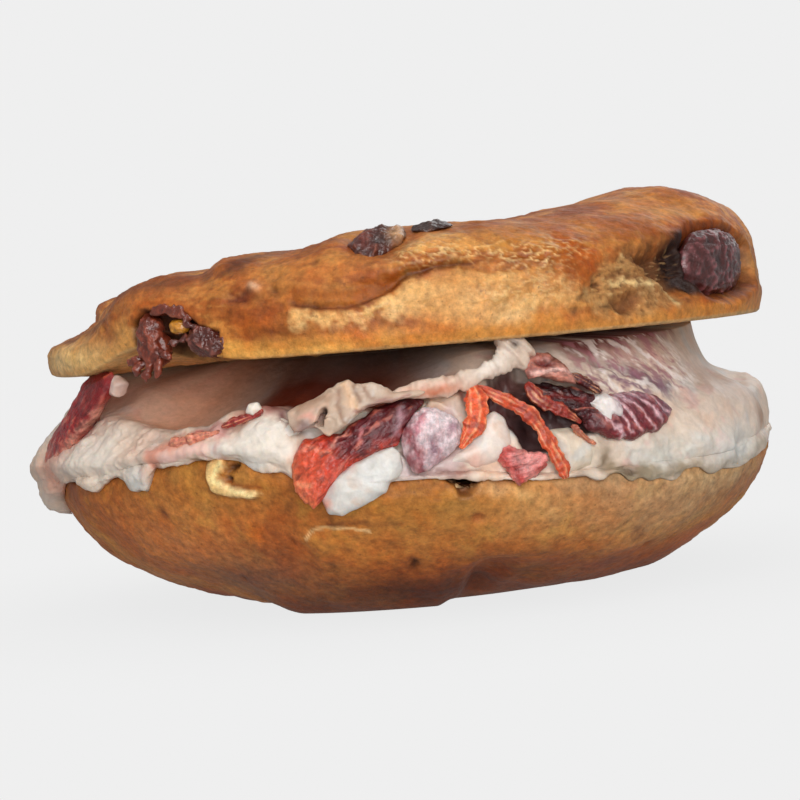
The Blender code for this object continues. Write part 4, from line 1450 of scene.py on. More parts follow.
@dataclass
class Filling:
    """The body of soft cheese between the halves, with its ledges, hollow and drips."""

    lower: LowerHalf
    upper: UpperHalf
    depth: float = 17.0
    gap: float = 0.12
    side_rows: int = 84
    drip_rows: int = 16
    full_side: Path = path("53.2 0.02, 53.6 0.16, 52.4 0.34, 51.2 0.52, 50.2 0.68, 48.6 0.82, 46.4 0.97")
    hollow_side: Path = path("53.4 0.02, 54 0.14, 52.8 0.28, 51.4 0.41, 50 0.53, 45 0.55, 38 0.7")
    stepped_side: Path = path("52.6 0.02, 52.6 0.14, 51.6 0.37, 48.4 0.46, 45 0.58, 43.4 0.78, 42.8 0.96")
    hollow: RoundTheRing = RoundTheRing(
        path("0 0, 50 0.5, 95 0.1, 148 0.6, 172 0, 190 0, 208 0.5, 224 1, 262 1, 284 0.15, 330 0.1")
    )
    bulge: RoundTheRing = RoundTheRing(
        path("0 0.2, 40 1.2, 85 -0.6, 130 1, 160 1.4, 181 3.3, 205 1.2, 228 0, 262 0.6, 292 -0.8, 325 0.3")
    )
    ledge: RoundTheRing = RoundTheRing(
        path("0 1, 200 1, 218 0.7, 229 0.5, 236 0.55, 243 0.8, 250 1, 300 1")
    )
    bulge_shares: tuple[float, ...] = (1.0, 1.15, 1.0, 0.4, 0.0, 0.0, 0.1)
    drips: Path = path("259 8 3.8, 224 5 3, 213 5 2, 184 16 4.4, 246 6 1.4, 307 9 1.6, 330 20 2.2, 52 9 4.4, "
        "92 8 2.2, 126 11 3.6, 226.2 1.8 1.2, 297 2.5 1, 302.5 2.2 0.8, 310.5 2.6 0.8, 319.5 3.5 0.7, "
        "75 4 1.2, 152 5 1")
    marks: Marks = (
        # the left end
        Dab(Spot(186, 22, 16, 5), Tone(228, 196, 172), 0.8),
        Dab(Spot(213, 24.4, 9, 3.4), WHITE, 0.9),
        Dab(Spot(206, 33, 6, 3), Tone(190, 120, 100), 0.5),
        Dab(Spot(201, 27.5, 4.5, 3.6, 40), Tone(196, 70, 66), 0.7),
        Dab(Spot(196, 21, 4, 3.4, 50), Tone(226, 150, 122), 0.7),
        Dab(Spot(218, 34, 2.4, 1.9), Tone(238, 210, 196), 0.9, 0.6),
        Dab(Spot(223, 30.5, 4, 2), Tone(222, 184, 158), 0.6),
        Dab(Spot(226, 26.5, 4, 2.4), Tone(226, 186, 164), 0.6),
        Dab(Spot(206, 20, 3, 1.8), Tone(150, 104, 74), 0.45),
        Dab(Spot(225, 20.6, 2.4, 2.6), COOL_WHITE, 0.9),
        # pink shreds, crumbs and painted shadows along the ledge
        Dab(Line(path("228.4 23.6, 231 25.6, 234 26.2, 238 26.6"), 1), SALMON, 0.75, 0.8),
        Dab(Line(path("231 24.2, 235 25, 239 24.8"), 0.6), Tone(244, 196, 184), 0.8, 0.6),
        Dab(Line(path("236 27, 240 27.2, 243.4 28.4, 247.6 29.6"), 0.9), Tone(176, 60, 56), 0.7, 0.9),
        Dab(Spot(240, 27, 2, 0.9), Tone(240, 186, 176), 0.8),
        Dab(Spot(237.8, 26.8, 0.8, 0.6), Tone(70, 30, 30), 0.8, 0.2),
        Dab(Spot(249, 29.4, 1.6, 0.9), Tone(130, 34, 36), 0.8),
        Dab(Line(path("250.4 28.6, 253 26.6"), 0.7), WINE, 0.85, 0.4),
        # painted shadows under the pink shred
        Dab(Spot(229.4, 23, 0.9, 1), Tone(120, 66, 44), 0.8),
        Dab(Spot(237, 23.5, 1.2, 0.6), Tone(120, 86, 60), 0.8),
        Dab(Patch(path("240 24, 243 26, 247.5 28.4, 251 27.8, 252.6 25, 251 22.6, "
            "246 23.8"), 0.8), WHITE, 0.95),
        # behind the slices in the middle
        Push(Patch(FRONT_SLICE, 0.8), -1.6),
        Push(Patch(COATED_SLICE, 0.8), -1.2),
        Push(Patch(path("281.5 27.8, 282.6 31.6, 288 33, 293 32, 297 29.4, 299 26.4, 297 23.4, 291 21.8, "
            "286.4 21.6, 284.6 24.8"), 0.8), -2.8),
        # maroon juice with near-black painted shade in the hollows behind the slices
        Dab(Patch(path("281 27.6, 281.6 31.4, 286 33, 291 32.2, 297 29.6, 300 26.4, 298 23.2, 291 21.2, "
            "286 21, 284 24.6"), 0.6), MAROON, 0.95),
        Dab(Spot(284.6, 30.2, 2, 1.5), BLACK_RED, 0.9),
        Dab(Spot(287, 24.2, 1.8, 2.6, -12), BLACK_RED, 0.9),
        Dab(Patch(path("268 19, 268 27.5, 276 28.5, 278 22, 274 19.6"), 0.8), Tone(214, 188, 186), 0.8),
        Dab(Line(path("276.8 30.2, 278.4 28.6, 279.4 26.4"), 0.7), Tone(120, 40, 34), 0.8, 0.4),
        Dab(Line(path("281 28.2, 284 27.4"), 0.8), Tone(110, 34, 30), 0.8, 0.4),
        Dab(Spot(275, 19.8, 3, 0.5), Tone(120, 44, 32), 0.7),
        # the smooth right-hand side
        Dab(Spot(302, 32.4, 8, 2.6), Tone(206, 192, 178), 0.8),
        Dab(Spot(310.4, 32.2, 1.8, 2.6, -20), Tone(220, 148, 138), 0.6),
        Dab(Spot(309, 34.4, 2.2, 1.2), Tone(206, 150, 136), 0.5),
        Dab(Spot(315, 31, 6, 3.6), Tone(224, 200, 186), 0.6),
        Push(Spot(302.4, 32.2, 1.8, 0.7, -20), -0.7),
        Dab(Spot(302.4, 32, 1.6, 0.8, -20), Tone(150, 124, 132), 0.7),
        Dab(Spot(317, 32.4, 1.6, 2.2), Tone(232, 168, 160), 0.7, 0.8),
        Dab(Spot(306.6, 33, 1.6, 1.2), Tone(228, 176, 168), 0.7, 0.8),
        Dab(Spot(301, 34, 2, 0.8), Tone(128, 66, 74), 0.7, 0.6),
        Dab(Line(path("300 17, 308 16.2, 316 16, 324 16.2, 336 17.6"), 1.7), Tone(148, 126, 94), 0.8, 1.2),
        Dab(Spot(312, 20, 4, 1, -8), Tone(198, 186, 170), 0.6, 1),
        Dab(Line(path("308 30, 311.5 28.2, 316 27.8"), 0.9), Tone(112, 84, 96), 0.8, 0.5),
        Dab(Line(path("298 34.9, 304 35.1, 312 35.3, 322 35.6, "
            "330 35.8"), 1.5), Tone(112, 36, 42), 0.97, 0.8),
        Dab(Spot(291, 35.2, 4.4, 0.9), Tone(150, 118, 104), 0.7),
        Dab(Spot(333, 27, 12, 5), Tone(206, 182, 168), 0.7),
        Dab(Spot(341, 21.6, 3.6, 2.4), Tone(166, 118, 84), 0.8),
        Dab(Spot(326, 18.6, 8, 3), COOL_WHITE, 0.9),
        Dab(Spot(309, 19.6, 5, 2.2), Tone(224, 218, 206), 0.7),
        Dab(Spot(294.8, 20.6, 3, 2.2), Tone(226, 208, 186), 0.9),
        Dab(Spot(298.2, 19.4, 1.2, 2, -10), Tone(136, 112, 84), 0.85),
        Dab(Spot(304, 17.2, 4, 1), Tone(150, 132, 104), 0.75),
        Dab(Spot(301.6, 17.3, 1.3, 0.6), Tone(82, 62, 44), 0.85, 0.3),
        Push(Spot(301.6, 17.3, 1.2, 0.6), -0.7),
        Dab(Spot(293.6, 17.6, 1.2, 0.5), Tone(96, 66, 44), 0.8, 0.3),
        Dab(Spot(313, 16.4, 2, 1), Tone(166, 146, 120), 0.7),
        Dab(Spot(322, 16.2, 1.6, 0.8), Tone(170, 150, 126), 0.6),
        Push(Spot(324, 18.8, 3.4, 1.8), 0.9),
        Push(Spot(309.5, 17.6, 2, 1.6), 0.7),
        Shine(Spot(314, 31, 12, 4), 0.35),
    )

    def side(self, degrees: np.ndarray, steps: int) -> tuple[np.ndarray, np.ndarray]:
        """The side from its top to its foot, as distances from the axis and shares of the way up.

        Args:
            degrees: one angle for each column.
            steps: how many rows the side gets.

        Returns:
            Two grids, columns by rows.
        """
        hollow, ledge = self.hollow.at(degrees), self.ledge.at(degrees)
        stepped = swell(degrees, 356, 62)
        rows = []
        for k in range(6, -1, -1):
            plain, hollowed, step = self.full_side[k], self.hollow_side[k], self.stepped_side[k]
            lowered = hollowed[1] * (ledge if k < 6 else 0.5 + 0.5 * ledge)
            radius = plain[0] + hollow * (hollowed[0] - plain[0]) + stepped * (step[0] - plain[0])
            share = plain[1] + hollow * (lowered - plain[1]) + stepped * (step[1] - plain[1])
            rows.append(np.stack([radius + self.bulge.at(degrees) * self.bulge_shares[k], share], axis=-1))
        line = flowing(np.array(rows), steps)
        return line[..., 0].T, line[..., 1].T

    def build(self, finishes: Finishes) -> bpy.types.Object:
        """Builds and dresses the filling.

        Args:
            finishes: the materials.

        Returns:
            The piece's object.
        """
        degrees = ring_angles()
        turn = degrees[:, None]
        radius, share = self.side(degrees, self.side_rows)
        low = self.lower.cut.at(turn) + self.gap
        high = self.upper.base(turn, radius) - self.gap
        height = low + share * (high - low)
        down = self.drip_lengths(degrees)[:, None]
        steps = np.linspace(0.06, 1, self.drip_rows)[None, :]
        level = height[:, -1:] + (low - down - height[:, -1:]) * steps
        rim = self.beside_lower(turn, level, low)
        thin = 1 - 0.7 * swell(turn, 330, 56)
        swollen = 1.5 + 0.6 * np.maximum(0, self.bulge.at(turn))
        thick = thin * swollen * (0.35 + 0.65 * np.minimum(1, down / 2.5))
        rounded = (1 - steps**5) ** 0.5
        from_side = radius[:, -1:] - rim[:, :1] - self.gap
        out = rim + self.gap + thick * rounded + (from_side - thick) * (1 - steps) ** 3
        inner_levels = [low - 0.5 * down, low + 0 * down]
        inner = [self.beside_lower(turn, level_in, low) + 0.02 for level_in in inner_levels]
        top_radius = np.array([0.4, 4.0, 8.4, 14, 22, 30])[None, :] + 0 * turn
        top_radius = np.minimum(top_radius, radius[:, :1] - 2 + 0 * top_radius)
        flat_high = self.upper.base(turn, top_radius) - self.gap - np.where(top_radius < 9, -2.0, 0.0)
        flat_high = flat_high - 0.06 * self.hollow.at(turn) * self.depth * ease(top_radius, 14, 34)
        bottom_radius = np.array([50, 46, 40, 28, 16, 8.4, 4.0, 0.4])[None, :] + 0 * turn
        face = self.lower.height
        flat_low = face + (low - face) * ease(bottom_radius, 14, 48) + 0 * bottom_radius
        flat_low = flat_low - np.where(bottom_radius < 5, 2.0, 0.0)
        radii = np.hstack([top_radius, radius, out, *inner, bottom_radius])
        heights = np.hstack([flat_high, height, level, *inner_levels, flat_low])
        surface = Surface(places(turn, radii, heights), capped=True)
        canvas = surface.canvas(CREAM, 37)
        on_side = np.zeros(radii.shape)
        first = top_radius.shape[1]
        on_side[:, first : first + self.side_rows + self.drip_rows - 2] = 1
        self.dress(canvas, on_side.ravel(), np.repeat(self.hollow.at(degrees), radii.shape[1]))
        return surface.become("soft_cheese_body", canvas, Slot.CHEESE, finishes.cheese, "soft_cheese")

    def beside_lower(self, turn: np.ndarray, level: np.ndarray, low: np.ndarray) -> np.ndarray:
        """The distance from the axis to the lower half's side, just below its cut."""
        return self.lower.side_at(np.broadcast_to(turn, level.shape), np.minimum(level, low - 0.3))

    def drip_lengths(self, degrees: np.ndarray) -> np.ndarray:
        """How far the cheese hangs over the rim at each angle.

        Args:
            degrees: the angles.

        Returns:
            Lengths, never less than 0.4.
        """
        length = 0.5 + sum(tall * swell(degrees, angle, width) for angle, width, tall in self.drips)
        edge = places(degrees, 53.0, 20.0)
        calm = 1 - 0.7 * swell(degrees, 326, 36)
        length = length + 0.7 * calm * Grain(3).layered(edge, 3.4, 2) * ease(length, 0.5, 1.6)
        bare = swell(degrees, 240, 13)
        return np.maximum(0.4, length) * (1 - bare) + 0.1 * bare

    def dress(self, canvas: Canvas, side: np.ndarray, hollow: np.ndarray) -> None:
        """Lays the crags, the painted shade in the hollow, the juice stains and the marks.

        Args:
            canvas: the filling's canvas.
            side: 1 where a point is on the outer side.
            hollow: how hollow the side is at each point's angle.
        """
        grain, points = canvas.grain, canvas.points
        deep = (1 - ease(canvas.radius, 46.5, 50.8)) * hollow
        deep = deep * (canvas.height > 25) * ease(canvas.radius, 24, 34)
        crag = lumps(points, 8.0) + 0.6 * lumps(points, 3.6)
        rough = side * (1 - 0.75 * deep) * ease(canvas.radius, 44, 50)
        canvas.lift += 0.8 * crag * rough
        folded = points + 1.4 * np.stack([canvas.shake[0], canvas.shake[1], canvas.shake[0]], axis=1)
        smooth = 1 - 0.7 * swell(canvas.degrees, 340, 40)
        canvas.lift += 0.38 * (grain.ridged(folded, 5.4, 2) - 0.4) * rough * smooth
        canvas.lift += 0.12 * grain.layered(points, 2.0, 2) * rough * smooth
        tint = grain.layered(points + 50, 7, 3, 0.6)
        canvas.paint(ease(tint, 0.1, 0.7), COOL_WHITE, 0.75)
        canvas.paint(ease(-tint, 0.2, 0.8), PEACH, 0.55)
        canvas.paint(ease(grain.layered(points + 80, 4.0, 3, 0.6), 0.45, 0.9), PINK, 0.5)
        canvas.lay(self.marks)
        self.stain_near_fruit(canvas)
        # painted shade in the hollow under the upper half: pink-brown at its left end, deep brown across it,
        # near-black at its top, and a warmer brown low down at its right
        shade = deep * np.maximum(0.35 + 0.65 * ease(canvas.height, 27, 34), ease(canvas.degrees, 230, 244))
        pink_shade_left = (1 - ease(canvas.degrees, 222, 244)) * ease(canvas.degrees, 200, 214)
        darkest_shade = shade * ease(canvas.degrees, 244, 262) * ease(canvas.height, 31, 35)
        reddish_shade = shade * ease(canvas.degrees, 262, 276) * (1 - ease(canvas.height, 31, 34))
        canvas.paint(deep * pink_shade_left, Tone(224, 160, 126), 0.85)
        canvas.paint(shade * ease(canvas.degrees, 218, 242), Tone(104, 32, 8), 0.97)
        canvas.paint(darkest_shade, Tone(60, 14, 4), 0.7)
        canvas.paint(reddish_shade, Tone(128, 70, 50), 0.6)
        self.smear(canvas, side)
        canvas.wet -= 0.9 * deep
        canvas.wet += (0.45 + 0.25 * grain.at(points, 6)) * (1 - deep)

    def smear(self, canvas: Canvas, side: np.ndarray) -> None:
        """Streaks of juice and cheese drawn down over the smooth right-hand side.

        Args:
            canvas: the filling's canvas.
            side: 1 where a point is on the outer side.
        """
        along, up = canvas.beside(310, 30, 0.5)
        drawn = np.stack([along * 0.8 - up * 0.6, 3 * (up * 0.8 + along * 0.6), 0 * up], axis=1)
        streaks = canvas.grain.layered(drawn + 60, 3.6, 4, 0.65)
        share = side * ease(canvas.degrees, 294, 300) * (1 - ease(canvas.degrees, 320, 334))
        share = share * ease(canvas.height, 26, 29)
        canvas.paint(share * ease(streaks, 0.1, 0.6), Tone(246, 232, 226), 0.85)
        canvas.paint(share * ease(-streaks, 0.1, 0.6), Tone(178, 118, 128), 0.8)
        low = Spot(308, 28.6, 8, 2.2, -10).over(canvas, 0.8) * side
        canvas.paint(low * ease(-streaks, -0.2, 0.5), Tone(126, 92, 112), 0.85)

    def stain_near_fruit(self, canvas: Canvas) -> None:
        """Juice that has run into the cheese round the pieces at the sides and back.

        Args:
            canvas: the canvas of the surface.
        """
        for degrees, height in path("32 27.4, 64 27.2, 103 28.2, 146 27.4, 20 24, 118 24.5"):
            canvas.paint(Ball(degrees, 51, height, 8.5).over(canvas, 1.6), PINK, 0.75)
            canvas.paint(Ball(degrees, 51.5, height, 5.6, 2).over(canvas, 1.2), Tone(190, 74, 70), 0.6)


# Pieces set in the side


@dataclass
class Pillow:
    """A closed, rounded piece set in the side, given by its outline of (angle, height) points."""

    name: str
    outline: Path
    radius: float
    crown: float = 0.8
    depth: float = 2.5
    edge: float = 0.9
    back_lean: float = 0.0
    side_lean: float = 0.0
    around: int = 150
    rings: int = 34
    smooth: int = 2

    def middle(self) -> tuple[float, float]:
        """The angle and height of the outline's middle."""
        spots = np.array(self.outline)
        return float(spots[:, 0].mean()), float(spots[:, 1].mean())

    def rim(self) -> np.ndarray:
        """How far the outline lies from its middle in each direction.

        Returns:
            One distance for each direction round the middle.
        """
        degrees, height = self.middle()
        spots = np.array([((a - degrees) * math.radians(1) * REACH, h - height) for a, h in self.outline])
        turns = np.linspace(0, 2 * np.pi, self.around, endpoint=False)
        ways = np.stack([np.cos(turns), np.sin(turns)], axis=1)
        reach = np.full(self.around, 0.25)
        for start, end in zip(spots, np.roll(spots, -1, axis=0)):
            edge = end - start
            cross = ways[:, 0] * edge[1] - ways[:, 1] * edge[0]
            cross = np.where(np.abs(cross) < 1e-9, 1e-9, cross)
            away = (start[0] * edge[1] - start[1] * edge[0]) / cross
            share = (start[0] * ways[:, 1] - start[1] * ways[:, 0]) / cross
            hit = (share >= -1e-6) & (share <= 1 + 1e-6) & (away > 0)
            reach = np.where(hit, np.maximum(reach, away), reach)
        for _ in range(self.smooth):
            reach = (np.roll(reach, 1) + 2 * reach + np.roll(reach, -1)) / 4
        return reach

    def surface(self) -> Surface:
        """The piece's grid, from the middle of its front, over its rim, to the middle of its back.

        Returns:
            The capped surface.
        """
        degrees, height = self.middle()
        reach = self.rim()[:, None]
        turns = np.linspace(0, 2 * np.pi, self.around, endpoint=False)[:, None]
        front = np.linspace(0.03, 1, self.rings)[None, :]
        back = np.linspace(1, 0.05, 9)[None, 1:]
        share = np.hstack([front, back])
        side, up = share * reach * np.cos(turns), share * reach * np.sin(turns)
        ahead = self.crown * (1 - front**2) - self.edge * front**7
        behind = -self.edge - self.depth * (1 - back**2) ** 0.5
        out = np.hstack([ahead, behind]) + 0 * side
        radius = self.radius + out + self.back_lean * up + self.side_lean * side
        return Surface(places(degrees + np.degrees(side / REACH), radius, height + up), capped=True)


def oval(
    degrees: float, height: float, along: float, tall: float, lean: float, seed: int
) -> Path:
    """An uneven oval outline.

    Args:
        degrees: the angle of its middle.
        height: the height of its middle.
        along: its half length along the rim.
        tall: its half height.
        lean: its turn, anticlockwise as seen from outside.
        seed: what its unevenness starts from.

    Returns:
        (angle, height) points.
    """
    chance = np.random.default_rng(seed)
    points = []
    for turn in np.linspace(0, 2 * np.pi, 14, endpoint=False):
        reach = 1 + chance.uniform(-0.14, 0.14)
        x, y = along * reach * math.cos(turn), tall * reach * math.sin(turn)
        angle = math.radians(lean)
        side, up = x * math.cos(angle) - y * math.sin(angle), x * math.sin(angle) + y * math.cos(angle)
        points.append((degrees + math.degrees(side / REACH), height + up))
    return tuple(points)


@dataclass
class Shred:
    """A thin piece swept along (angle, distance, height) points."""

    route: Path
    half_width: float
    half_thickness: float
    start: float = 0.5
    end: float = 0.25
    steps: int = 70
    around: int = 28

    def surface(self, grain: Grain) -> Surface:
        """The piece's grid, from one end to the other.

        Args:
            grain: the noise that roughens its width.

        Returns:
            The capped surface.
        """
        spots = np.array([places(a, r, h) for a, r, h in self.route])
        line = flowing(spots, self.steps)
        ahead = np.gradient(line, axis=0)
        ahead /= np.linalg.norm(ahead, axis=1, keepdims=True)
        out = line * np.array([1, 1, 0])
        out /= np.linalg.norm(out, axis=1, keepdims=True)
        out = out - ahead * (out * ahead).sum(axis=1, keepdims=True)
        out /= np.linalg.norm(out, axis=1, keepdims=True)
        beside = np.cross(out, ahead)
        along = np.linspace(0, 1, self.steps)
        taper = self.start + (1 - self.start) * ease(along, 0, 0.3)
        taper = taper - (1 - self.end) * ease(along, 0.55, 1)
        taper = taper * np.minimum(1, 12 * np.minimum(along + 0.02, 1.02 - along)) ** 0.5
        taper = taper * (1 + 0.34 * grain.layered(line, 2.2, 3, 0.7))
        turns = np.linspace(0, 2 * np.pi, self.around, endpoint=False)[:, None, None]
        wide = beside[None] * np.sin(turns) * self.half_width
        thick = out[None] * np.cos(turns) * self.half_thickness
        return Surface(line[None] + (wide + thick) * taper[None, :, None], capped=True)


@dataclass
class BerryPiece:
    """One piece of cut strawberry: its shape, its ground colour and the dabs on it."""

    pillow: Pillow
    ground: Tone
    marks: Marks = ()
    node: str | None = None
    fibres: float = 0.22
    seed: int = 1
    slant: float = 0.0
    stained: float = 1.0

    def build(self, finishes: Finishes) -> bpy.types.Object:
        """Builds and dresses the piece.

        Args:
            finishes: the materials.

        Returns:
            The piece's object.
        """
        surface = self.pillow.surface()
        canvas = surface.canvas(self.ground, 60 + self.seed)
        grain, points = canvas.grain, canvas.points
        degrees, height = self.pillow.middle()
        side, up = canvas.beside(degrees, height, 0)
        tint = grain.layered(points, 2.4, 3, 0.6)
        canvas.paint(ease(tint, 0.25, 0.9), SALMON, 0.35 * self.stained)
        canvas.paint(ease(-tint, 0.2, 0.9), WINE, 0.45 * self.stained)
        canvas.lay(self.marks)
        turn = math.radians(self.slant)
        onward = side * math.cos(turn) + up * math.sin(turn)
        across = up * math.cos(turn) - side * math.sin(turn)
        drawn = np.stack([onward, 3 * across, 0 * up], axis=1)
        streaks = grain.layered(drawn + 20, 3.2, 3, 0.65)
        canvas.paint(ease(streaks, 0.3, 0.9), Tone(236, 150, 126), 0.45 * self.stained)
        canvas.paint(ease(-streaks, 0.35, 0.9), MAROON, 0.5 * self.stained)
        canvas.lift += self.fibres * (streaks + 0.7 * grain.layered(points, 1.7, 3, 0.6))
        canvas.wet += 0.6 + 0.3 * grain.at(points, 3)
        return surface.become(self.pillow.name, canvas, Slot.STRAWBERRY, finishes.berry, self.node)


@dataclass
class CheesePiece:
    """One lump, flap or drip of soft cheese on the body of the filling."""

    pillow: Pillow
    ground: Tone = WHITE
    marks: Marks = ()
    folds: float = 0.0
    craggy: float = 0.35
    seed: int = 1

    def build(self, finishes: Finishes) -> bpy.types.Object:
        """Builds and dresses the piece.

        Args:
            finishes: the materials.

        Returns:
            The piece's object.
        """
        surface = self.pillow.surface()
        canvas = surface.canvas(self.ground, 80 + self.seed)
        grain, points = canvas.grain, canvas.points
        tint = grain.layered(points, 3.4, 3, 0.6)
        canvas.paint(ease(tint, 0.2, 0.9), COOL_WHITE, 0.6)
        canvas.paint(ease(-tint, 0.3, 0.9), PEACH, 0.4)
        canvas.lay(self.marks)
        degrees, height = self.pillow.middle()
        side, up = canvas.beside(degrees, height, 0.6)
        canvas.lift += self.folds * np.sin(side * 1.7 + 0.9 * up + 1.2 * canvas.shake[0])
        canvas.lift += self.craggy * (grain.ridged(points, 4.6, 2) - 0.4)
        canvas.wet += 0.55 + 0.3 * grain.at(points, 3)
        return surface.become(self.pillow.name, canvas, Slot.CHEESE, finishes.cheese)


@dataclass
class DriedPiece:
    """One raisin or sultana: its shape, its ground colour, the painted highlight on its wrinkles, its legs
    and the dabs on it.
    """

    pillow: Pillow
    node: str
    ground: Tone = Tone(74, 34, 26)
    # the painted highlight laid on the crests of the wrinkles
    pale: Tone = Tone(150, 92, 74)
    marks: Marks = ()
    legs: tuple[Shred, ...] = ()
    wrinkle: float = 0.5
    slot: Slot = Slot.RAISIN
    seed: int = 1

    def build(self, finishes: Finishes) -> bpy.types.Object:
        """Builds and dresses the piece.

        Args:
            finishes: the materials.

        Returns:
            The piece's object.
        """
        piece = Piece(self.node + "_skin", self.slot)
        grain = Grain(100 + self.seed)
        for surface in [self.pillow.surface(), *[leg.surface(grain) for leg in self.legs]]:
            canvas = surface.canvas(self.ground, 100 + self.seed)
            crests = grain.ridged(canvas.points, 2.3, 3)
            canvas.lift += self.wrinkle * (crests - 0.5)
            # painted highlight on the crests of the wrinkles and painted shade in their folds
            canvas.paint(ease(crests, 0.5, 0.95), self.pale, 0.45)
            canvas.paint(ease(-crests, -0.1, 0.4), BLACK_RED, 0.8)
            canvas.lay(self.marks)
            surface.press(canvas)
            piece.add(surface, canvas)
        material = finishes.sultana if self.slot is Slot.SULTANA else finishes.raisin
        return piece.make(material, self.node)


@dataclass
class Fruit:
    """Every piece of strawberry."""

    def slices(self) -> list[BerryPiece]:
        """The slices seen at the front.

        Returns:
            The pieces.
        """
        front = Pillow(
            "strawberry_front_slice",
            FRONT_SLICE,
            54.5, 0.5, 3.4, 0.9, -0.3, 0.0, 220, 60, 1,
        )
        coated = Pillow(
            "strawberry_coated_slice",
            COATED_SLICE,
            54.5, 0.7, 3.4, 0.9, -0.25, 0.0, 180, 50, 2,
        )
        dark = Pillow(
            "strawberry_dark_slice",
            path("287.9 30.4, 290.7 30.1, 293.9 29.3, 296.9 28.7, 298.9 27.5, 299.7 25.8, 299.4 23.2, "
                "297.6 23.6, 295.5 24.5, 294 25.8, 291.2 27.2, 288.9 28.4"),
            52.2, 0.5, 2.6, 0.8, -0.25, 0.0, 180, 50, 1,
        )
        rib = Pillow(
            "strawberry_rib_slice",
            path("287.2 32.2, 287.5 33.7, 289.2 34.3, 291.5 34.1, 293.5 32.9, 294.9 30.9, 295.2 29.6, "
                "292.8 30.1, 291.2 30.7, 288.9 31.2, 287.6 30.8"),
            51.9, 0.8, 2.0, 0.6, -0.3, 0.0, 150, 40, 1,
        )
        right = Pillow(
            "strawberry_right_slice",
            path("294.9 25.6, 295.9 26.6, 298 27.2, 301.4 27.8, 306 28, 310.4 26.8, 312.9 24.9, 310.9 23.4, "
                "308.6 22.2, 305.8 22, 303.4 21.5, 299.6 21.9, 297.6 22.9, 295.8 23.5"),
            53.3, 0.4, 3.2, 1.3, -0.3, 0.0, 220, 60, 1,
        )
        jelly = Pillow(
            "strawberry_jelly_piece",
            path("281.8 22.7, 283.6 22.8, 284.8 22.2, 285.9 21.5, 287.7 21.5, 288.8 20.7, 288.4 19.3, "
                "287 18.3, 285.6 18.1, 284.2 17.2, 283.2 18.1, 282.4 19.5, 281.3 20.9"),
            54.4, 0.7, 2.6, 0.9, -0.1, 0.0, 180, 50, 1,
        )
        left = Pillow(
            "strawberry_left_slice",
            path("208.4 36, 216 35.9, 215.6 33.8, 213 31, 209.6 28.4, 204 25.2, 197.5 21.6, 190 20.6, "
                "190.4 24.4, 198.4 28.4, 204.6 31, 207.6 33.4"),
            53.4, 0.7, 2.8, 0.9, -0.3, 0.0, 180, 50, 2,
        )
        return [
            BerryPiece(front, Tone(206, 78, 56), self.front_marks(), "strawberry_front", 0.22, 1, 35),
            BerryPiece(
                coated, Tone(230, 210, 212), self.coated_marks(), "strawberry_coated", 0.12, 2, 80, 0.3
            ),
            BerryPiece(dark, MAROON, self.dark_marks(), "strawberry_dark", 0.3, 3, -12),
            BerryPiece(rib, Tone(206, 146, 130), self.rib_marks(), "strawberry_rib", 0.14, 4),
            BerryPiece(right, Tone(128, 58, 66), self.right_marks(), "strawberry_right", 0.16, 5, -50, 0.5),
            BerryPiece(jelly, Tone(238, 158, 152), self.jelly_marks(), "strawberry_jelly", 0.24, 6, 10, 0.6),
            BerryPiece(left, Tone(160, 40, 44), self.left_marks(), "strawberry_left", 0.15, 7, 40),
        ]

    def front_marks(self) -> Marks:
        """Speckled maroon skin at the upper right, bright flesh, and an orange edge at the lower left."""
        return (
            Dab(Patch(path("258.5 24.6, 260 28, 265 31, 273 31.5, 273 26, 267 24.2, "
                "262 23"), 1.4), WINE, 0.95, 1.2),
            Dab(Spot(270, 29.6, 3.4, 1.2, 8), MAROON, 0.9),
            Dab(Line(path("260.5 27.4, 264 29, 268 30.6"), 0.6), MAROON, 0.8, 0.4),
            Dab(Spot(254.4, 21.6, 2.8, 3.4), Tone(228, 104, 64), 0.85, 1),
            Dab(Spot(254.2, 19, 1.8, 1.6), Tone(236, 132, 92), 0.8, 0.8),
            Dab(Line(path("258.6 24.6, 260.4 26.2"), 0.3), Tone(244, 178, 160), 0.8, 0.6),
            Dab(Line(path("262.6 25.2, 263.4 26.6"), 0.3), Tone(226, 150, 150), 0.7, 0.6),
            Dab(Line(path("252.2 24.6, 252.2 21, 252.8 18.6, 255.4 17"), 0.8), Tone(236, 138, 92), 0.9, 0.4),
            Dab(Line(path("253.4 26.4, 256.4 25.6"), 0.35), Tone(244, 178, 150), 0.8, 0.5),
            Dab(Line(path("254.4 24.6, 258 23.8"), 0.35), Tone(240, 150, 122), 0.8, 0.6),
            Dab(Line(path("253.6 20.2, 255.6 19.8"), 0.3), Tone(246, 170, 130), 0.7, 0.4),
            Dab(Spot(257.4, 26.2, 1.8, 1), Tone(240, 96, 74), 0.6),
            Dab(Spot(258.6, 21.6, 2.2, 0.9, 14), Tone(214, 82, 60), 0.7),
            Dab(Line(path("268.6 28.6, 267.6 25.6"), 0.5), Tone(216, 176, 184), 0.6, 0.5),
        )

    def coated_marks(self) -> Marks:
        """Wine-red juice through the cheese on the coated slice."""
        return (
            Dab(Line(path("269.2 27.2, 269.4 24, 269.8 21.2, "
                "270.4 19.6"), 1.1), Tone(148, 48, 62), 0.85, 1.1),
            Dab(Spot(272.6, 23.6, 0.9, 1.4, -20), Tone(120, 58, 84), 0.8, 0.7),
            Dab(Spot(275, 25.6, 0.7, 0.9), Tone(150, 96, 116), 0.75, 0.5),
            Dab(Spot(273, 21.6, 1, 0.8), Tone(176, 116, 130), 0.6, 0.5),
            Dab(Spot(274.4, 27.2, 2.2, 1), Tone(232, 222, 224), 0.7),
            Dab(Line(path("271.4 27.8, 270.6 25.4"), 0.5), Tone(196, 106, 122), 0.7, 0.6),
        )

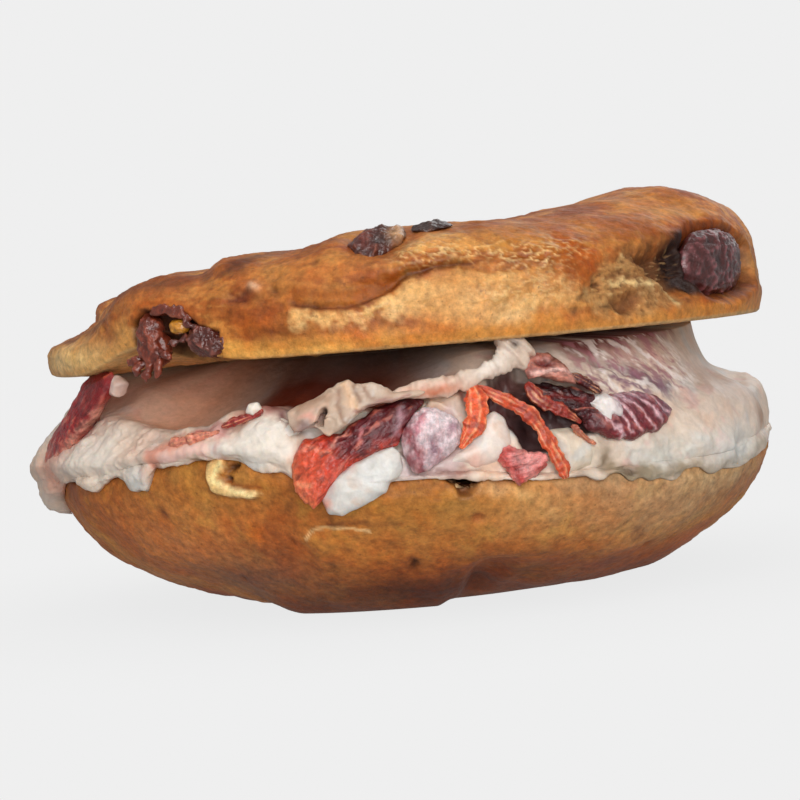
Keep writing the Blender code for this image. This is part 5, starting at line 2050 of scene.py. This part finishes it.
    def dark_marks(self) -> Marks:
        """Near-black folds with painted greyish highlights."""
        return (
            Dab(Line(path("285 29.6, 290 30.4, 296 29.6"), 0.8), BLACK_RED, 0.85, 0.6),
            # painted greyish highlight
            Dab(Line(path("293 30.6, 298 29.4"), 0.4), Tone(134, 108, 112), 0.8, 0.4),
            Dab(Line(path("290.6 28.6, 296 27.4"), 0.5), Tone(140, 40, 36), 0.7, 0.5),
            Dab(Spot(297, 25, 1.6, 1.2), Tone(112, 28, 36), 0.8),
        )

    def rib_marks(self) -> Marks:
        """A pale edge round a dark red hollow."""
        return (
            Push(Spot(290, 33, 1.3, 0.6, -8), -0.9),
            Dab(Spot(290, 33, 1.5, 0.75, -8), Tone(120, 32, 34), 0.9, 0.3),
            Dab(Line(path("288 31.8, 291.6 32, 294.2 31.4"), 0.35), Tone(240, 200, 190), 0.8, 0.3),
            Dab(Line(path("291.4 34.2, 293.6 33, 295.4 31.4"), 0.3), BLACK_RED, 0.9, 0.2),
        )

    def right_marks(self) -> Marks:
        """Pale fibres fanning out over red flesh, each with a painted shadow beside it, and purple streaks.

        Returns:
            The slice's marks.
        """
        fibres = (
            path("296.6 27.4, 299 24.8, 301.3 22.1"), path("299 27.4, 301.2 24.8, 302.6 22.5"),
            path("300.6 27.6, 303 25.2, 304 22.9"), path("302.6 28, 305 25.4, 306.8 22.5"),
            path("304.6 28.2, 307.2 25.8, 309 23.4"), path("306.4 28.4, 309 26.4, 311.2 24.2"),
            path("308 28.2, 310.6 26.8, 312.6 25.2"),
        )
        # painted shadows: each fibre's route moved a little to the right and down
        shadows = [tuple((degrees + 1.2, height - 0.3) for degrees, height in route) for route in fibres]
        return (
            Dab(Spot(296.6, 24.6, 1.8, 1.8), Tone(92, 26, 34), 0.9),
            Dab(Spot(304, 22.6, 7, 1.9), Tone(140, 36, 42), 0.9, 0.8),
            Dab(Spot(310.8, 25.8, 2.2, 1.6), Tone(138, 92, 112), 0.8, 0.8),
            Dab(Spot(299.4, 26.8, 2.6, 1), Tone(234, 222, 220), 0.85, 0.8),
            Dab(Spot(304, 27.6, 4, 0.8), Tone(206, 180, 192), 0.8, 0.8),
            *[Dab(Line(route, 0.26), Tone(228, 190, 194), 0.9, 0.5) for route in fibres],
            *[Dab(Line(route, 0.22), Tone(128, 52, 66), 0.7, 0.5) for route in shadows],
        )

    def jelly_marks(self) -> Marks:
        """Red edges and a pale middle."""
        return (
            Dab(Line(path("281.8 21.6, 282.8 20, 284 18.6, 285 17.2"), 0.6), Tone(196, 70, 62), 0.8, 0.3),
            Dab(Spot(282.8, 21.8, 0.8, 0.8), RED, 0.8),
            Dab(Spot(285.6, 20.8, 1.2, 1.4), Tone(240, 178, 172), 0.7),
            Dab(Line(path("286.8 19, 288.6 19.8"), 0.5), Tone(190, 60, 50), 0.8, 0.3),
            Dab(Line(path("284.8 22.6, 286.6 22.6, 288.2 21.8"), 0.3), Tone(90, 24, 28), 0.7, 0.3),
        )

    def left_marks(self) -> Marks:
        """Deep red at the top, fading to orange and peach below."""
        return (
            Dab(Spot(211.5, 33.6, 3, 3.4), Tone(134, 24, 30), 0.9),
            Dab(Line(path("212.6 30.4, 208.6 27.4, 203 24.4, "
                "197.5 21.2"), 0.9), Tone(226, 166, 146), 0.85, 1.2),
            Dab(Spot(204, 29, 4, 2, 30), Tone(176, 44, 50), 0.7),
            Dab(Spot(195, 24, 4.4, 2.6, 30), Tone(222, 122, 96), 0.95, 0.9),
            Dab(Spot(191, 21.2, 5, 2), Tone(236, 186, 160), 0.95, 0.9),
        )

    def hidden(self) -> list[BerryPiece]:
        """The pieces at the right end and the back.

        Returns:
            The pieces.
        """
        rows = (
            ("far_right", 32, 49.2, 27.4, 7.0, 3.2, 12, Tone(186, 52, 46)),
            ("back_right", 64, 48.8, 27.2, 7.6, 3.4, -16, Tone(150, 34, 40)),
            ("back", 103, 48.8, 28.2, 7.4, 4.2, 20, Tone(196, 60, 44)),
            ("back_left", 146, 48.6, 27.4, 8.4, 3.6, 14, Tone(140, 36, 42)),
        )
        made = []
        for k, (name, degrees, radius, height, along, tall, lean, ground) in enumerate(rows):
            outline = oval(degrees, height, along, tall, lean, 40 + k)
            pillow = Pillow(f"strawberry_{name}_slice", outline, radius + 3.4, 0.9, 3.0, 0.9, -0.2)
            marks = (
                Dab(Spot(degrees, height, along * 0.5, tall * 0.4, lean), Tone(236, 168, 150), 0.7, 0.8),
                Dab(Spot(degrees + 4, height - 1, 2.4, 1.4), WINE, 0.6, 0.8),
            )
            made.append(BerryPiece(pillow, ground, marks, f"strawberry_{name}", 0.26, 20 + k))
        return made

    def shreds(self, finishes: Finishes) -> None:
        """Builds the thin shreds.

        Args:
            finishes: the materials.
        """
        rows = (
            ("shred_upright", "shred_upright", path("278.9 51.8 31, 279.2 52.6 29.4, 279.1 53.4 27.6, "
                "278.5 54 25.9, 277.4 54.2 24.4, "
                "276.2 54.2 22.9"), 1.35, 0.32, 0.8, 0.25, Tone(226, 100, 46)),
            ("shred_long", "shred_long", path("279.6 52 30.6, 282.3 52.8 29.2, 284.3 53.4 28, "
                "286.1 53.8 26.8, 287.5 54 25.2, 288.4 54.2 23.4, 289.3 54.3 21.8, 290.1 54.3 20.2, "
                "290.8 54.2 18.8, 291.2 54 17.6"), 0.95, 0.32, 0.7, 0.9, Tone(212, 92, 48)),
            ("shred_short", "shred_short", path("294.5 51.4 31, 297 51.8 29.6, "
                "299.4 51.8 28.2"), 0.6, 0.6, 0.5, 0.4, Tone(96, 40, 44)),
            ("shred_left", "shred_left", path("230 53 24.6, 233 53.4 25.9, 236.5 53.4 26.4, "
                "241 53 27.4"), 0.7, 0.4, 0.5, 0.3, Tone(226, 150, 128)),
            ("shred_second", None, path("287.2 51.8 30.6, 288 52.4 29, 289.2 52.8 27.8, 291 53 26.9, "
                "292.8 53 25.9, 295 52.6 24.6"), 0.9, 0.3, 0.7, 0.4, Tone(168, 62, 46)),
            ("shred_ledge", None, path("241 52.6 27.8, 244 52.8 28.6, "
                "248 52.4 29.6"), 0.5, 0.35, 0.5, 0.4, Tone(170, 64, 62)),
            ("shred_thin", None, path("293 53.4 24.4, 295 53.2 22.6, "
                "296.6 53.2 21.6"), 0.45, 0.4, 0.6, 0.4, Tone(196, 120, 96)),
        )
        for k, (name, node, route, width, thickness, start, end, ground) in enumerate(rows):
            grain = Grain(140 + k)
            surface = Shred(route, width, thickness, start, end).surface(grain)
            canvas = surface.canvas(ground, 140 + k)
            across, onward = surface.grid.shape[:2]
            lines = np.sin(np.linspace(0, 2 * np.pi, across, endpoint=False) * 7 + 0.6 * k)
            ribs = np.repeat(lines, onward) + 0.9 * grain.at(canvas.points, 1.4)
            canvas.lift += 0.06 * ribs + 0.16 * grain.layered(canvas.points, 1.2, 3, 0.65)
            # pale along the raised ribs: partly the fibres' own colour, partly painted highlight
            canvas.paint(ease(ribs, 0.3, 1.2), Tone(250, 190, 146), 0.7)
            darker = ease(-grain.layered(canvas.points + 9, 2.2, 3, 0.65), 0.1, 0.7)
            canvas.paint(darker, Tone(150, 40, 26), 0.65)
            canvas.wet += 0.7
            surface.become(name + "_fibres", canvas, Slot.STRAWBERRY, finishes.berry, node)


@dataclass
class CheeseLumps:
    """The flap, ridge, drip and lumps that stand out of the filling at the front."""

    def pieces(self) -> list[CheesePiece]:
        """The lumps, each with its dabs.

        Returns:
            The pieces.
        """
        flap = Pillow(
            "cheese_ruffled_flap",
            path("252.1 29.4, 254.2 30.1, 256.6 31.1, 258.8 32.1, 259.6 32.7, 261.1 32.9, 262.1 32.2, "
                "262.8 32.3, 264.6 32.3, 266 31.9, 267.3 31, 268.3 30.7, 270.5 30.9, 272.2 30.9, 271.8 30.1, "
                "269.7 30, 267.9 29.6, 265.7 29.5, 263.6 29.1, 262.4 28.2, 260.9 27.3, 259.4 26.3, "
                "258.3 25.9, 257.7 26.2, 256.9 26.9, 255.1 27.7, 253.5 26.5, 252.5 27.9"),
            54.0, 0.3, 1.6, 0.5, -0.4, 0.0, 240, 60, 1,
        )
        drip = Pillow(
            "cheese_front_drip",
            path("256.4 19.9, 258.2 20.5, 260 21.3, 262.5 22.5, 264.7 23.3, 266.8 23.9, 267.7 23.1, "
                "268 20.8, 267.4 19.8, 266.2 19.3, 265.4 18, 263.8 17.2, 262 16.3, 259.5 15.5, 257.4 15.6, "
                "256.8 17, 256.4 18.6"),
            55.3, 0.6, 3.2, 0.9, -0.12, 0.0, 180, 44, 1,
        )
        white = Pillow(
            "cheese_white_lump",
            path("277.5 23.5, 278.7 24.9, 280.2 26.6, 281.9 27.2, 283.3 26.2, 283.9 24.3, 284.1 22.8, "
                "282.9 21.4, 281.6 20.6, 280 20.2, 278.2 19.7, 276.5 20.3, 274.4 20.3, 273 20.6, 274.4 21.9, "
                "276 22.5"),
            53.2, 1.3, 2.6, 0.9, -0.1, 0.0, 180, 44, 2,
        )
        left = Pillow(
            "cheese_left_lump",
            path("239.6 24, 242 25.8, 244.5 27.4, 247.5 28.8, 250.6 28.4, 253.2 26.8, 253.2 24.5, "
                "251.3 22.2, 248 23.3, 245 24, 242.5 23.5"),
            53.0, 1.3, 2.6, 0.9, -0.15, 0.0, 180, 44, 2,
        )
        blob = Pillow(
            "cheese_right_blob",
            path("296.6 27.1, 298.3 27.9, 300 28, 302.1 26.9, 302.4 25.6, 301.4 24.7, 300.1 25.1, "
                "299.1 23.9, 298 25, 297.2 26"),
            53.4, 0.3, 2.4, 1.2, -0.2, 0.0, 180, 44, 2,
        )
        rim = Pillow(
            "cheese_rim_lump",
            path("290.4 24, 293.5 23.9, 295.5 23.2, 296.9 21.4, 297.2 20.1, 296.2 18.5, 294.1 18.1, "
                "291.7 17.6, 290.7 19.4, 290 21.7"),
            52.6, 1.4, 2.2, 0.9, -0.08, 0.0, 180, 44, 2,
        )
        crumb = Pillow(
            "cheese_ledge_crumb", path("245.2 29.4, 245.8 30.7, 247.2 30.8, 247.8 29.8, "
                "246.6 29"), 52.8, 0.5, 1.2, 0.4,
            around=60, rings=16,
        )
        bead = Pillow(
            "cheese_left_bead", path("213.4 32.6, 212.9 34.6, 215.2 35.5, 217.4 34.2, "
                "215.6 32.2"), 50.6, 0.5, 1.6, 0.9,
            around=70, rings=18,
        )
        pink = Dab(Spot(278.2, 21, 1.4, 1.4), Tone(244, 178, 154), 0.6)
        lilac = Dab(Spot(301.4, 26.4, 1.2, 1.4), Tone(190, 160, 172), 0.6)
        brown = Dab(Spot(298.2, 19.6, 1, 2), Tone(140, 112, 84), 0.8)
        return [
            CheesePiece(flap, Tone(204, 178, 156), self.flap_marks(), 0.1, 0.12, 1),
            CheesePiece(drip, Tone(228, 222, 214), self.drip_marks(), 0.0, 0.34, 2),
            CheesePiece(white, Tone(240, 224, 212), (pink,), 0.0, 0.2, 3),
            CheesePiece(left, WHITE, (), 0.0, 0.2, 4),
            CheesePiece(blob, Tone(232, 222, 216), (lilac,), 0.1, 0.2, 5),
            CheesePiece(rim, Tone(228, 210, 188), (brown,), 0.0, 0.3, 6),
            CheesePiece(crumb, WHITE, (), 0.0, 0.2, 7),
            CheesePiece(bead, Tone(232, 204, 192), (), 0.0, 0.3, 8),
        ]

    def flap_marks(self) -> Marks:
        """A painted peach highlight along a crease, a dark pit with painted shade, and painted shade under
        the folds and at the foot.
        """
        return (
            # the pit, pushed in and painted near-black: painted shade
            Push(Line(path("257.6 29, 257.2 27.6"), 0.45, 2), -1.4, 0.1),
            Dab(Line(path("257.8 29.2, 257.2 27.6"), 0.5, 2), Tone(44, 20, 18), 0.95, 0.1),
            # painted peach highlight along the crease
            Dab(Line(path("260.6 32.4, 261.4 30.4, 262.2 29.2"), 0.6), Tone(240, 196, 156), 0.7, 0.4),
            Dab(Spot(255.4, 28.6, 1.4, 0.7), Tone(236, 168, 150), 0.7, 0.5),
            # greyish-brown lines and spots from here on: painted shade under the folds and at the foot
            Dab(Line(path("252.6 29.6, 256 30.8"), 0.5), Tone(150, 112, 92), 0.5, 0.5),
            Dab(Line(path("262 31.8, 262.8 30.2"), 0.35), Tone(130, 92, 72), 0.6, 0.3),
            Dab(Line(path("266 32.4, 267 30.6"), 0.5), Tone(170, 134, 112), 0.6, 0.4),
            Dab(Spot(265, 31.6, 1.6, 1), Tone(214, 196, 180), 0.6),
            Dab(Spot(256, 30.4, 3, 0.8, 14), Tone(158, 122, 98), 0.75, 0.6),
            Dab(Spot(254.6, 27.2, 2, 0.6, 10), Tone(120, 62, 60), 0.7, 0.5),
            Dab(Line(path("259.6 31.6, 260 29.6, 260.8 27.8"), 0.4), Tone(150, 112, 90), 0.7, 0.4),
            Dab(Line(path("263.6 31.8, 264.4 30.4, 265.6 29.8"), 0.35), Tone(160, 122, 100), 0.7, 0.4),
            Dab(Line(path("262 28.6, 265.6 29.8, 269.6 30.2"), 0.35), Tone(150, 96, 88), 0.7, 0.4),
        )

    def drip_marks(self) -> Marks:
        """A pink flush at the left edge."""
        return (
            Dab(Line(path("255.2 18.6, 256.2 16.4, 257.4 16.8"), 0.8), Tone(236, 150, 122), 0.8, 0.4),
            Dab(Spot(257.6, 19.6, 1, 1), Tone(232, 190, 186), 0.7, 0.4),
            Dab(Spot(263.4, 20.4, 3, 2), Tone(214, 216, 214), 0.5),
        )

    def ridge(self, finishes: Finishes) -> None:
        """Builds the pale ridge that climbs from the flap to the upper half.

        Args:
            finishes: the materials.
        """
        route = path("266.5 51.8 30.4, 271 52 30.8, 275.4 52.2 31.1, 279.4 51.8 32, 282.8 51.4 33, "
            "285.4 50.8 34.5, 287.2 50.4 36.4")
        surface = Shred(route, 1.15, 0.6, 0.5, 2.4, 120, 40).surface(Grain(91))
        canvas = surface.canvas(Tone(226, 202, 182), 91)
        canvas.lift += 0.35 * (canvas.grain.ridged(canvas.points, 3.4, 3) - 0.4)
        tint = canvas.grain.layered(canvas.points, 2.6, 3, 0.6)
        canvas.paint(ease(tint, 0.1, 0.8), Tone(168, 122, 98), 0.6)
        canvas.paint(Spot(273.6, 30.6, 3.6, 0.9, 4).over(canvas, 0.5), Tone(214, 122, 84), 0.9)
        canvas.paint(Spot(282, 33.6, 3, 1.4, 30).over(canvas, 0.4), WHITE, 0.8)
        # painted shade where the ridge tucks under the upper half
        canvas.paint(Spot(285.8, 35.8, 0.8, 0.6).over(canvas, 0.2), Tone(50, 30, 24), 0.9)
        canvas.wet += 0.5
        surface.become("cheese_ridge", canvas, Slot.CHEESE, finishes.cheese)


@dataclass
class DriedFruit:
    """The raisins and the sultana baked into the bagel."""

    def pieces(self) -> list[DriedPiece]:
        """Every dried piece.

        Returns:
            The pieces.
        """
        return [*self.cluster(), *self.crest(), *self.rest()]

    def cluster(self) -> list[DriedPiece]:
        """The ragged cluster at the left.

        Returns:
            The pieces.
        """
        left = Pillow(
            "raisin_left_skin",
            path("226.6 38.6, 226.4 41, 227.2 43, 229.4 43.9, 230.6 42.4, 231.4 40.4, 232 38.4, 231.2 36.6, "
                "229 36, 227.2 37"),
            53.2, 0.8, 2.6, 0.9,
        )
        legs = (
            Shred(path("227.6 52.6 38.2, 226.4 53.4 37.4, 225 53.8 37.2"), 0.55, 0.5, 0.9, 0.3, 24, 14),
            Shred(path("228 52.8 37.2, 227 53.6 36.2, 226.6 53.8 35.2"), 0.6, 0.5, 0.9, 0.3, 24, 14),
            Shred(path("229.4 52.8 37, 228.8 53.6 35.6, 228.6 53.8 34.4"), 0.6, 0.5, 0.9, 0.3, 24, 14),
            Shred(path("230.6 52.8 37.4, 231 53.4 36, 230.8 53.6 35"), 0.65, 0.5, 0.9, 0.35, 24, 14),
            Shred(path("231 52.8 38.6, 232.6 53.4 38, 233.6 53.2 37.2"), 0.5, 0.45, 0.9, 0.3, 24, 14),
        )
        inner = Pillow(
            "raisin_left_inner_skin",
            path("235.8 39.6, 237 41.2, 239 41.6, 241.6 40.8, 243.6 39.6, 243.4 37.8, 241 37, 238 37.4"),
            53.2, 0.7, 2.4, 0.8,
        )
        inner_legs = (
            Shred(path("236.4 52.4 40.2, 234.8 53.2 39.6, 232.8 53.2 39.2"), 0.5, 0.45, 0.9, 0.4, 24, 14),
            Shred(path("238 52.6 41.2, 236.8 53.2 42, 236.4 53 43"), 0.5, 0.45, 0.9, 0.5, 24, 14),
        )
        arch = Pillow(
            "raisin_left_arch_skin",
            path("229 43.2, 230 44.6, 233 44.9, 236.4 44.2, 238 42.4, 236.6 42.2, 234 43.2, 231.2 43.4"),
            53.2, 0.4, 1.4, 0.5, around=110, rings=24,
        )
        amber = Pillow(
            "sultana_left_skin", oval(234.9, 41.6, 1.6, 1.15, -6, 5), 53.0, 0.8, 1.2, 0.5,
            around=80, rings=20, smooth=6,
        )
        # each row's second tone is the painted highlight on the crests
        rows = (
            (left, "raisin_left", Tone(104, 40, 24), Tone(176, 86, 58), legs, 0.6, Slot.RAISIN),
            (inner, "raisin_left_inner", Tone(84, 32, 22), Tone(170, 100, 84), inner_legs, 0.65, Slot.RAISIN),
            (arch, "raisin_left_arch", Tone(108, 44, 26), Tone(186, 104, 72), (), 0.45, Slot.RAISIN),
            (amber, "sultana_left", Tone(190, 124, 36), Tone(224, 166, 70), (), 0.1, Slot.SULTANA),
        )
        return [
            DriedPiece(pillow, node, ground, pale, (), short, wrinkle, slot, seed=k)
            for k, (pillow, node, ground, pale, short, wrinkle, slot) in enumerate(rows, 1)
        ]

    def crest(self) -> list[DriedPiece]:
        """The shining pair on the crest, with the pale nub beside them.

        Returns:
            The pieces.
        """
        large = Pillow(
            "raisin_crest_skin",
            path("261.4 50.2, 262.2 51.6, 265 52.6, 268 52.9, 271.4 52.4, 272 51.2, 269.6 49.4, 267 47.9, "
                "264.2 47.4, 262.2 48.4"),
            46.9, 1.2, 3.4, 0.9, -1.0,
        )
        small = Pillow(
            "raisin_crest_small_skin", oval(276.2, 52.0, 3.4, 0.9, 4, 9), 43.9, 1.0, 2.2, 0.6, -1.2,
            around=100, rings=24,
        )
        marks = (
            Dab(Spot(270, 51.6, 1.2, 1.5), Tone(206, 156, 108), 0.9, 0.4),
            Dab(Spot(264, 51.4, 1.4, 1.2), Tone(120, 44, 30), 0.6),
            Dab(Spot(267, 51, 1, 1), Tone(50, 30, 26), 0.7),
        )
        # the second tone of each is the painted highlight on the crests
        return [
            DriedPiece(large, "raisin_crest", Tone(72, 26, 14), Tone(150, 82, 58), marks, (), 0.6, seed=5),
            DriedPiece(small, "raisin_crest_small", Tone(54, 26, 18), Tone(104, 62, 44), (), (), 0.4, seed=6),
        ]

    def rest(self) -> list[DriedPiece]:
        """The large one at the right, and those at the sides and back.

        Returns:
            The pieces.
        """
        right = Pillow(
            "raisin_right_skin",
            path("320.8 46.6, 324.4 48.6, 331.4 49.1, 338.4 48.4, 343 46.4, 342.8 43.2, 340.6 40.9, "
                "336.4 39.9, 331.7 39.4, 326 39.7, 321.4 40.9, 319.8 43.8"),
            51.8, 0.7, 3.2, 1.5,
        )
        # pale is the painted highlight on the crests
        ground, pale = Tone(72, 28, 26), Tone(184, 112, 116)
        made = [DriedPiece(right, "raisin_right", ground, pale, (), (), 0.5, seed=9)]
        rows = (
            ("raisin_back_side", 52, 52.6, 44.0, 4.4, 3.0, 10, 0.0),
            ("raisin_lower_back", 112, 49.6, 10.8, 4.4, 2.8, -8, 0.35),
        )
        for k, (node, degrees, radius, height, along, tall, lean, slope) in enumerate(rows):
            outline = oval(degrees, height, along, tall, lean, 60 + k)
            shape = Pillow(node + "_skin", outline, radius, 1.2, 2.6, 0.8, slope)
            made.append(DriedPiece(shape, node, RAISIN_BROWN, RAISIN_HIGHLIGHT, (), (), 0.6, seed=10 + k))
        return made

    def on_top(self, finishes: Finishes) -> None:
        """Builds the two raisins that lie in the top of the bagel.

        Args:
            finishes: the materials.
        """
        rows = (
            ("raisin_back_top", 96, 34.0, 51.4, 4.8, 3.6, 2.2),
            ("raisin_left_top", 152, 30.0, 47.6, 4.4, 3.6, 1.7),
        )
        for k, (node, degrees, radius, height, along, deep, tall) in enumerate(rows):
            down = np.linspace(0.02, np.pi - 0.02, 60)[None, :]
            turn = np.linspace(0, 2 * np.pi, 110, endpoint=False)[:, None]
            level = [along * np.sin(down) * np.cos(turn), deep * np.sin(down) * np.sin(turn)]
            flat = np.stack([*level, tall * np.cos(down) + 0 * turn], axis=-1)
            cosine, sine = math.cos(math.radians(degrees + 90)), math.sin(math.radians(degrees + 90))
            spin = np.array([[cosine, sine, 0], [-sine, cosine, 0], [0, 0, 1]])
            surface = Surface(flat @ spin + places(degrees, radius, height), capped=True)
            canvas = surface.canvas(RAISIN_BROWN, 120 + k)
            crests = canvas.grain.ridged(canvas.points, 2.4, 3)
            canvas.lift += 0.7 * (crests - 0.5)
            # painted highlight on the crests and painted shade in the folds
            canvas.paint(ease(crests, 0.5, 0.95), RAISIN_HIGHLIGHT, 0.65)
            canvas.paint(ease(-crests, -0.1, 0.4), BLACK_RED, 0.8)
            surface.become(node + "_skin", canvas, Slot.RAISIN, finishes.raisin, node)


@dataclass
class Studio:
    """The pale floor, the soft lights and the camera."""

    eye: tuple[float, float, float] = (0.26, -397.4, 45.2)
    target: tuple[float, float, float] = (0.26, 0.1, 27.4)
    lens: float = 119.0
    roll: float = -4.7
    pale: float = 0.863

    def camera(self) -> None:
        """Sets the camera at the photograph's angle."""
        data = bpy.data.cameras.new("camera")
        data.lens = self.lens
        data.sensor_width = 36
        data.clip_start = 0.01
        camera = bpy.data.objects.new("camera", data)
        bpy.context.scene.collection.objects.link(camera)
        eye, target = Vector(self.eye) * MM, Vector(self.target) * MM
        camera.location = eye
        camera.rotation_mode = "QUATERNION"
        spin = Quaternion((0, 0, 1), math.radians(self.roll))
        camera.rotation_quaternion = (target - eye).to_track_quat("-Z", "Y") @ spin
        bpy.context.scene.camera = camera

    def soft_light(self, name: str, place: tuple[float, float, float], size: float, power: float) -> None:
        """Hangs one square soft light that faces the sandwich.

        Args:
            name: the light's name.
            place: where it hangs, in metres.
            size: the length of its side, in metres.
            power: its strength in watts.
        """
        data = bpy.data.lights.new(name, "AREA")
        data.size = size
        data.energy = power
        lamp = bpy.data.objects.new(name, data)
        bpy.context.scene.collection.objects.link(lamp)
        lamp.location = place
        lamp.rotation_mode = "QUATERNION"
        lamp.rotation_quaternion = (Vector((0, 0, 0.03)) - Vector(place)).to_track_quat("-Z", "Y")

    def floor(self) -> None:
        """Lays the plain pale floor, which glows evenly; ambient occlusion darkens the glow under the
        sandwich into a soft painted shadow.
        """
        mesh = bpy.data.meshes.new("floor")
        mesh.from_pydata([(-6, -6, 0), (6, -6, 0), (6, 6, 0), (-6, 6, 0)], [], [(0, 1, 2, 3)])
        floor = bpy.data.objects.new("floor", mesh)
        bpy.context.scene.collection.objects.link(floor)
        material = bpy.data.materials.new("pale floor")
        material.use_nodes = True
        tree = material.node_tree
        tree.nodes.clear()
        # painted shadow: ambient occlusion dims the floor's glow near the sandwich
        shade = tree.nodes.new("ShaderNodeAmbientOcclusion")
        shade.inputs["Distance"].default_value = 0.05
        shade.samples = 8
        shade.inputs["Color"].default_value = (1, 1, 1, 1)
        soften = tree.nodes.new("ShaderNodeMapRange")
        soften.inputs["To Min"].default_value = self.pale * 0.92
        soften.inputs["To Max"].default_value = self.pale
        glow = tree.nodes.new("ShaderNodeEmission")
        out = tree.nodes.new("ShaderNodeOutputMaterial")
        tree.links.new(shade.outputs["AO"], soften.inputs["Value"])
        tree.links.new(soften.outputs["Result"], glow.inputs["Strength"])
        tree.links.new(glow.outputs["Emission"], out.inputs["Surface"])
        mesh.materials.append(material)
        floor.visible_diffuse = False
        floor.visible_glossy = False

    def sky(self) -> None:
        """Fills the room with soft light from above, and shows a plain pale backdrop."""
        world = bpy.data.worlds.new("room")
        bpy.context.scene.world = world
        world.use_nodes = True
        tree = world.node_tree
        fill = tree.nodes["Background"]
        where = tree.nodes.new("ShaderNodeTexCoord")
        split = tree.nodes.new("ShaderNodeSeparateXYZ")
        slope = tree.nodes.new("ShaderNodeMapRange")
        slope.inputs["From Min"].default_value = -0.6
        slope.inputs["From Max"].default_value = 0.8
        slope.inputs["To Min"].default_value = 0.38
        slope.inputs["To Max"].default_value = 0.34
        plain = tree.nodes.new("ShaderNodeBackground")
        plain.inputs["Color"].default_value = (self.pale, self.pale, self.pale, 1)
        seen = tree.nodes.new("ShaderNodeLightPath")
        mix = tree.nodes.new("ShaderNodeMixShader")
        tree.links.new(where.outputs["Generated"], split.inputs["Vector"])
        tree.links.new(split.outputs["Z"], slope.inputs["Value"])
        tree.links.new(slope.outputs["Result"], fill.inputs["Strength"])
        fill.inputs["Color"].default_value = (1, 1, 1, 1)
        tree.links.new(seen.outputs["Is Camera Ray"], mix.inputs["Fac"])
        tree.links.new(fill.outputs["Background"], mix.inputs[1])
        tree.links.new(plain.outputs["Background"], mix.inputs[2])
        tree.links.new(mix.outputs["Shader"], tree.nodes["World Output"].inputs["Surface"])

    def build(self) -> None:
        """Sets up the whole studio."""
        bpy.context.scene.view_settings.view_transform = "Standard"
        self.camera()
        self.floor()
        self.sky()
        self.soft_light("overhead", (-0.05, -0.16, 0.55), 0.16, 0.62)
        self.soft_light("front fill", (0.12, -0.9, 0.22), 0.6, 7.0)
        self.soft_light("back fill", (0.3, 0.6, 0.4), 0.5, 1.0)


def main() -> None:
    """Builds the sandwich and its studio."""
    finishes = Finishes()
    Studio().build()
    lower, upper = LowerHalf(), UpperHalf()
    lower.build(finishes)
    upper.build(finishes)
    Filling(lower, upper).build(finishes)
    fruit = Fruit()
    for piece in [*fruit.slices(), *fruit.hidden()]:
        piece.build(finishes)
    fruit.shreds(finishes)
    lumps_of_cheese = CheeseLumps()
    for piece in lumps_of_cheese.pieces():
        piece.build(finishes)
    lumps_of_cheese.ridge(finishes)
    dried = DriedFruit()
    for piece in dried.pieces():
        piece.build(finishes)
    dried.on_top(finishes)


if __name__ == "__main__":
    main()
